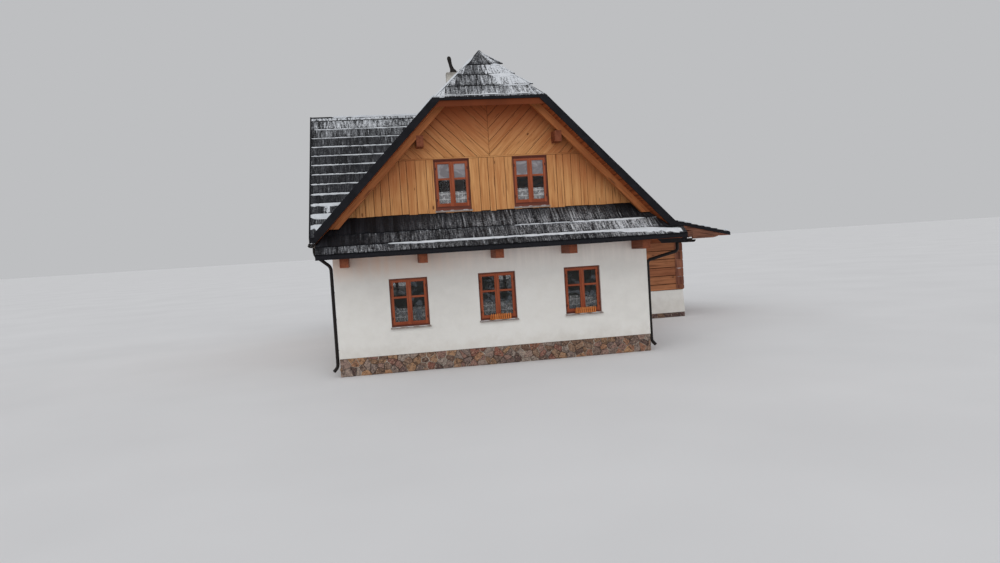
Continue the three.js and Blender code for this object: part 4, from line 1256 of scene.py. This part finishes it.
def make_window(node, turn):
    matrix, width, height = window_frame(node, turn)
    high_up = "gable" in node
    back, pane = (HIGH_BACK, HIGH_GLASS) if high_up else (BACK, GLASS)
    half, top = width / 2 - 0.001, height - 0.001
    shape = Shape()
    frame_ring(shape, -half, half, FRAME_FOOT, top, back + 0.01, back + FRAME_DEPTH, JAMB, finish=SHADED_FRAMES)
    for hand in (-1, 1):
        add_casement(shape, hand, half, top, back, pane)
    shape.box((-COVER_STRIP, back - 0.012, 0.06), (COVER_STRIP, back + 0.01, top - 0.05), JOINERY,
              grain=UPRIGHT, tone=0.4)
    foot, inner = 0.0, 0.001
    if high_up:
        foot, inner = -APRON, -BOARD - 0.001
        for z0, z1, tone in ((foot - 0.006, FRAME_FOOT, 0.6), (top - 0.004, top + HEAD_STRIP, 0.9)):
            shape.box((-half, inner - 0.014, z0), (half, inner, z1), SHADED_FRAMES, tone=tone)
    add_sill(shape, half, back, foot, inner, turn == 0)
    shape.build(node + "_casement", matrix, bevel=0.003, replaces=[node])
    make_curtain(node, matrix, width, height, back)
    if node in FLOWER_GUARDS:
        make_flower_guard(node, matrix)


# Curtains: gathers, how deep they are, and the mesh; the drop as a share of the window
WAVES, AMPLITUDE = 16, 0.012
COLUMNS, ROWS = 160, 12
DROP, HIGH_DROP = 0.3, 0.27
ROD_RADIUS = 0.004


def make_curtain(node, matrix, width, height, back):
    """A gathered half curtain of lace, hung on a rod behind the lower panes."""
    span, drop = width - 2 * JAMB - 0.04, (HIGH_DROP if "gable" in node else DROP) * height
    top = JAMB + 0.06 + drop
    y = back + FRAME_DEPTH + 0.028
    step = [lerp(-span / 2, span / 2, i / COLUMNS) for i in range(COLUMNS + 1)]
    fold = [AMPLITUDE * math.sin(2 * math.pi * WAVES * i / COLUMNS) for i in range(COLUMNS + 1)]
    run, runs = 0.0, [0.0]
    for i in range(COLUMNS):
        run += math.hypot(step[i + 1] - step[i], fold[i + 1] - fold[i])
        runs.append(run)
    points, uvs, faces = [], [], []
    for r in range(ROWS + 1):
        points += [(x, y + dy, top - drop * r / ROWS) for x, dy in zip(step, fold)]
        uvs += [(u, drop * (1 - r / ROWS)) for u in runs]
    for r in range(ROWS):
        for a in range(r * (COLUMNS + 1), r * (COLUMNS + 1) + COLUMNS):
            faces.append((a, a + COLUMNS + 1, a + COLUMNS + 2, a + 1))
    corners = [uvs[i] for face in faces for i in face]
    mesh = new_mesh(node + "_lace", points, faces, [LACE], corners, smooth_shade=True)
    mesh.transform(matrix)
    curtain = add_object(node + "_curtain", mesh)
    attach(curtain, "root")
    rod = Shape()
    turns = [-k * math.pi / 4 for k in range(1, 9)]
    ring = [(math.cos(a) * ROD_RADIUS, math.sin(a) * ROD_RADIUS) for a in turns]
    ends = (-span / 2 - 0.02, span / 2 + 0.02)
    rod.loft([[(x, y + dy, top + 0.002 + dz) for dy, dz in ring] for x in ends], METAL)
    rod_piece = rod.build(node + "_rod", matrix, smooth_shade=True)


def make_flower_guard(node, matrix):
    """A low picket guard that stands on the sill in front of the casements."""
    shape = Shape()
    rng = random.Random(node)
    x0, x1, count = -0.24, 0.325, 10
    y0, y1, thin, foot = -SILL_REACH + 0.006, 0.045, 0.012, 0.024
    for i in range(count):
        x = lerp(x0, x1, (i + 0.5) / count)
        tip = 0.185 + rng.uniform(-0.004, 0.004)
        outline = [(x + dx, y0, z) for dx, z in (
            (-0.014, 0.022), (0.014, 0.022), (0.014, tip - 0.012), (0, tip), (-0.014, tip - 0.012))]
        shape.prism(outline, (0, thin, 0), ORANGE, grain=UPRIGHT, tone=rng.random() * 0.6)
    y = y0 + 2 * thin
    for z in (0.05, 0.115):
        shape.box((x0, y0 + thin, z), (x1, y, z + 0.022), JOINERY, tone=0.3)
    for x in (x0, x1 - thin):
        shape.box((x, y, foot), (x + thin, y1, 0.14), ORANGE, grain=(0, 1, 0), tone=0.5)
    shape.box((x0 + thin, y, foot), (x1 - thin, y1, foot + thin), ORANGE, tone=0.6)
    shape.build(node + "_flower_guard", matrix, bevel=0.002)


# The door's jambs, threshold and planks
DOOR_JAMB, THRESHOLD, PLANK = 0.07, 0.03, 0.15


def make_door():
    """A ledged plank door in its frame, with strap hinges and a latch."""
    low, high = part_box("east_door")
    width, height = high.y - low.y, high.z - low.z
    matrix = turned(math.pi / 2, high.x, (low.y + high.y) / 2, low.z)
    rng = random.Random(8)
    shape = Shape()
    half = width / 2 - 0.001
    frame_ring(shape, -half, half, 0.0, height - 0.001, -0.02, 0.05, DOOR_JAMB, THRESHOLD)
    leaf, foot, top = half - 0.072, 0.034, height - 0.075
    lanes = board_lanes(-leaf, leaf, PLANK, rng)
    for x0, x1 in zip(lanes, lanes[1:]):
        shape.box((x0 + 0.002, -0.004, foot), (x1 - 0.002, 0.026, top), JOINERY,
                  grain=UPRIGHT, tone=rng.random())
    shape.box((-leaf, 0.026, foot), (leaf, 0.046, top), JOINERY, grain=UPRIGHT, tone=0.9)
    for z in (0.32, height - 0.38):
        shape.box((-half + 0.06, -0.012, z), (half - 0.22, -0.004, z + 0.045), METAL)
    shape.box((half - 0.16, -0.014, 1.0), (half - 0.11, -0.004, 1.18), METAL)
    shape.box((half - 0.24, -0.05, 1.11), (half - 0.12, -0.034, 1.13), METAL)
    shape.box((half - 0.142, -0.05, 1.108), (half - 0.126, -0.012, 1.132), METAL)
    shape.build("plank_door", matrix, bevel=0.003, replaces=["east_door"])


for window, angle in WINDOWS.items():
    make_window(window, angle)
make_door()


# Rubble plinths

STONE_FACE = 0.012
STONE_DEPTH = 0.06
RECESS = 0.03
STONE_JOINT = 0.011
STONE_SIZE, ANNEX_STONE_SIZE = 0.26, 0.3
# Darker stone tones for the annex plinth: painted shade
SHADED_STONE_TONES = (0.0, 0.08, 0.94, 1.0)


def cell(site, others, region):
    """The part of a region that lies nearer to one site than to the others."""
    outline = [Vector(p) for p in region]
    for other in others:
        if other is not site and (other - site).length < 1.1:
            outline = clip(outline, (site + other) / 2, other - site)
    return outline


def lay_rubble(shape, matrix, width, height, seed, size, tones):
    """Irregular stones with mortar joints, on a wall face that starts at X 0."""
    rng = random.Random(seed)
    columns, rows = round(width / size), max(1, round(height / (size * 0.5)))
    sites = []
    for r in range(rows):
        for c in range(columns):
            x = (c + 0.5 + 0.5 * (r % 2) + rng.uniform(-0.5, 0.5)) * width / columns
            z = (r + 0.5 + rng.uniform(-0.48, 0.48)) * height / rows
            sites.append(Vector((x, z)))
    for site in sites:
        outline = cell(site, sites, rectangle(0, width, 0, height))
        if len(outline) < 3:
            continue
        middle = sum(outline, Vector((0, 0))) / len(outline)
        reach = max((p - middle).length for p in outline)
        if reach < 0.03:
            continue
        inset = 1 - STONE_JOINT / reach
        bulge = rng.uniform(0.0, 0.014)
        rings = []
        for scale, depth in ((inset, STONE_DEPTH), (inset, STONE_FACE + 0.014),
                             (inset * 0.93, STONE_FACE + 0.003 - bulge * 0.4),
                             (inset * 0.6, STONE_FACE - bulge)):
            ring = []
            for p in outline:
                q = middle + (p - middle) * scale
                jitter = rng.uniform(-0.003, 0.003) if depth < STONE_DEPTH else 0.0
                ring.append(matrix @ Vector((q.x, depth + jitter, q.y)))
            rings.append(ring)
        shape.loft(rings[::-1], STONE, tone=rng.choice(tones) if tones else rng.random())


def make_plinth(name, node, east, seed, size, west=True, tones=None):
    """Mortar behind stones: on the front, the rear and, if it is free, the west side, and on
    the stretches of the east side."""
    low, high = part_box(node)
    width, length = high.x - low.x, high.y - low.y
    sides = [(0, low.x, low.y, width), (math.pi, high.x, high.y, width)]
    if west:
        sides.append((-math.pi / 2, low.x, high.y, length))
    sides += [(math.pi / 2, high.x, y0, y1 - y0) for y0, y1 in east]
    shape = Shape()
    mortar_west = low.x + (RECESS if west else 0)
    shape.box((mortar_west, low.y + RECESS, 0), (high.x - RECESS, high.y - RECESS, high.z), MORTAR)
    for i, (turn, x, y, width) in enumerate(sides):
        lay_rubble(shape, turned(turn, x, y), width, high.z, seed + i, size, tones)
    shape.build(name, replaces=[node])


def make_plinths():
    low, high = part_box("stone_base")
    beside_annex = [(low.y, ANNEX_LOW.y), (ANNEX_HIGH.y, high.y)]
    make_plinth("rubble_plinth", "stone_base", beside_annex, 20, STONE_SIZE)
    low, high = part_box("annex_stone_base")
    make_plinth("annex_rubble_plinth", "annex_stone_base", [(low.y, high.y)], 40, ANNEX_STONE_SIZE,
                west=False, tones=SHADED_STONE_TONES)


make_plinths()


# Log walls of the annex

LOG_JOINT = 1.275
LOG_HEIGHT = 0.319
LOG_TOP = 4.6
LOG_GAP = 0.012
LOG_FACE = 0.03
LOG_END = 0.022
CORNER = 0.27
WITH_SNOW = 0.75


def height_of(outline):
    return max(p[1] for p in outline) - min(p[1] for p in outline) if len(outline) > 2 else 0.0


def add_log_faces(shape, start, end, low, regions, rng):
    """A hewn face for each course of logs, cut to the convex parts of the wall."""
    joints = [low]
    z = LOG_JOINT
    while z < LOG_TOP:
        joints.append(z)
        z += LOG_HEIGHT
    for z0, z1 in zip(joints, joints[1:]):
        tone = rng.random()
        for region in regions:
            outline = clip_to(rectangle(start, end, z0 + LOG_GAP, z1 - LOG_GAP), region)
            if height_of(outline) > 0.03:
                board(shape, outline, LOGS, (1, 0, 0), rng, LOG_FACE, tone)


def add_log_ends(shape, x0, x1, low, limits, rng):
    """The ends of the crossing logs at a corner, half a log out of step, with snow on some."""
    z = low
    while z < LOG_TOP:
        tall = LOG_HEIGHT * 0.5 if z == low else LOG_HEIGHT
        outline = rectangle(x0, x1, z + LOG_GAP, z + tall - LOG_GAP)
        if z > min(p[1] for p in limits) - 0.2:
            outline = clip_to(outline, limits)
        if height_of(outline) > 0.06:
            front = [(p[0], -LOG_FACE - LOG_END, p[1]) for p in outline]
            shape.prism(front, (0, 0.03, 0), LOG_ENDS, grain=UPRIGHT, tone=rng.random())
            edge = min(p[1] for p in outline[2:])
            if rng.random() < WITH_SNOW and edge > z + 0.1:
                ends = [(x, -LOG_FACE - LOG_END / 2 - 0.001, edge - 0.004) for x in (x0 + 0.02, x1 - 0.02)]
                snow_line(shape, *ends, 0.024, 0.016, rng.random() * 9)
        z += tall


def make_logs(name, matrix, start, end, regions, corners, seed):
    rng = random.Random(seed)
    shape = Shape()
    low = ANNEX_HIGH.z + FREE
    add_log_faces(shape, start, end, low, regions, rng)
    for x0, x1 in corners:
        add_log_ends(shape, x0, x1, low + 0.03, regions[-1], rng)
    shape.build(name, matrix, bevel=0.016)


def make_log_walls():
    under = LEAN_DEPTH + FREE
    west, east, out = EAST_EAVE + 0.005, ANNEX_FACE, ANNEX_FACE + 0.03
    edge, foot, split = east + 0.05, 1.0, LOG_JOINT + 5 * LOG_HEIGHT
    eaves = [main_top(x) - ROOF_DEPTH - FREE for x in (HALF_WIDTH, EAST_EAVE)]
    regions = [
        rectangle(HALF_WIDTH, edge, foot, split),
        [(HALF_WIDTH, split), (west - 0.01, split), (EAST_EAVE, eaves[1]), (HALF_WIDTH, eaves[0])],
        [(west, split), (edge, split), (edge, lean_top(edge) - under), (west, lean_top(west) - under)],
    ]
    mirrored = [[(-x, z) for x, z in reversed(region)] for region in regions]
    wall = HALF_WIDTH + 0.002
    make_logs("annex_logs_south", turned(0, y=ANNEX_LOW.y), wall, out, regions,
              [(east - CORNER, out)], 61)
    make_logs("annex_logs_north", turned(math.pi, y=ANNEX_HIGH.y), -out, -wall, mirrored,
              [(-out, CORNER - east)], 62)
    low, high = ANNEX_LOW.y, ANNEX_HIGH.y
    region = rectangle(low - 0.03, high + 0.03, foot, lean_top(east) - under - 0.012)
    corners = [(low - 0.03, low + CORNER), (high - CORNER, high + 0.03)]
    make_logs("annex_logs_east", turned(math.pi / 2, x=east), low, high, [region], corners, 63)


make_log_walls()


# Snow in the gutters and on the chimney, and the finish of the nodes that stay

GUTTER_RADIUS = 0.065


def make_small_details():
    snow = Shape()
    for side, hand in (("east", 1), ("west", -1)):
        low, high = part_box(f"{side}_gutter_and_downpipe")
        x = high.x - GUTTER_RADIUS if hand > 0 else low.x + GUTTER_RADIUS
        start = high.y - 1.15 if hand > 0 else low.y + 0.3
        top = high.z - 0.014
        snow_line(snow, (x, start, top), (x, high.y - 0.04, top), 0.1, 0.04, hand * 2.0, 0.05, 0.3)
    x, y, z = CHIMNEY_LOW.x, CHIMNEY_LOW.y, CHIMNEY_HIGH.z
    snow_line(snow, (x + 0.02, y + 0.1, z), (x + 0.02, y + 0.3, z), 0.05, 0.02, 7.0)
    snow.build("gutter_snow", smooth_shade=True)


def dress(names, material, bevel=0.0, segments=2):
    for name in names:
        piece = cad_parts[name]
        piece.data.materials.clear()
        piece.data.materials.append(material)
        if bevel:
            add_bevel(piece, bevel, segments)


def nodes_with(*words):
    return [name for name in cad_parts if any(word in name for word in words)]


def dress_nodes():
    walls = ("front_wall", "rear_wall", "west_wall", "east_wall", "annex_plaster_wall")
    dress(walls, PLASTER, 0.014, 3)
    dress(nodes_with("main_roof"), roof_slab("soffit_across", "x", eave=EAST_EAVE - 0.12))
    dress(nodes_with("pent_roof", "cross_gable_roof"), roof_slab("soffit_along", "y"))
    fall = math.tan(LEAN_ANGLE)
    plane = (0, LEAN_EAVE_Z + fall * LEAN_EAST, fall)
    dress(["lean_to_roof"], roof_slab("lean_to_boards", "x", plane, 0.2))
    fall = math.tan(HIP_ANGLE)
    plane = (1, HIP_EAVE_Z + fall * VERGE, fall)
    dress(nodes_with("half_hip"), roof_slab("half_hip_boards", "y", plane, 0.064, HIP_SHADED_WOOD))
    dress(("front_verge_rafters", "rear_verge_rafters"), RAFTER_X, 0.008)
    dress(["west_verge_rafters"], RAFTER_Y, 0.008)
    dress(nodes_with("bargeboards"), BLACK, 0.006)
    dress(nodes_with("floor_beam", "purlin"), TIMBER_Y, 0.01)
    dress(nodes_with("gutter", "chimney_cowl"), METAL)
    # The walls behind the boards and logs take painted shade
    dress(nodes_with("gable_wall", "annex_log_wall"), SHADE_BACKING)
    dress(["upper_floor"], TIMBER_X)
    dress(["chimney_stack"], RENDER, 0.01)


make_small_details()
dress_nodes()


# Camera, light and floor

CAMERA_AT = Vector((-3.036, -26.042, 3.144))
YAW, PITCH, ROLL = (math.radians(a) for a in (9.073, -2.74, -3.553))
LENS, SENSOR = 27, 36
FLOOR_SIZE = 900


def make_camera():
    level = Vector((math.cos(YAW), -math.sin(YAW), 0))
    forward = Vector((math.sin(YAW), math.cos(YAW), 0)) * math.cos(PITCH) + UP * math.sin(PITCH)
    upright = level.cross(forward)
    right = math.cos(ROLL) * level + math.sin(ROLL) * upright
    up = -math.sin(ROLL) * level + math.cos(ROLL) * upright
    data = bpy.data.cameras.new("camera")
    data.lens = LENS
    data.sensor_width = SENSOR
    data.clip_end = 2000
    camera = add_object("camera", data)
    turn = Matrix((right, up, -forward)).transposed().to_4x4()
    camera.matrix_world = Matrix.Translation(CAMERA_AT) @ turn
    bpy.context.scene.camera = camera


def make_light():
    scene = bpy.context.scene
    scene.view_settings.view_transform = "Standard"
    world = bpy.data.worlds.new("overcast")
    world.use_nodes = True
    world.node_tree.nodes["Background"].inputs["Color"].default_value = srgb(190, 191, 193)
    scene.world = world
    sun = bpy.data.lights.new("soft_sky", "SUN")
    sun.energy = 1.35
    sun.angle = math.radians(90)
    lamp = add_object("soft_sky", sun)
    lamp.rotation_euler = (math.radians(58), 0, math.radians(-14))


def make_floor():
    t = Tree("pale_floor", Roughness=0.9)
    colour = t.at.noise(0.2, 3).ramp((0.3, (222, 222, 223)), (0.7, (228, 228, 229)))
    corners = rectangle(-FLOOR_SIZE, FLOOR_SIZE, -FLOOR_SIZE, FLOOR_SIZE)
    points = [(x, y, 0) for x, y in corners]
    floor = add_object("floor", new_mesh("floor", points, [(0, 1, 2, 3)], [t.finish(colour)]))


make_camera()
make_light()
make_floor()
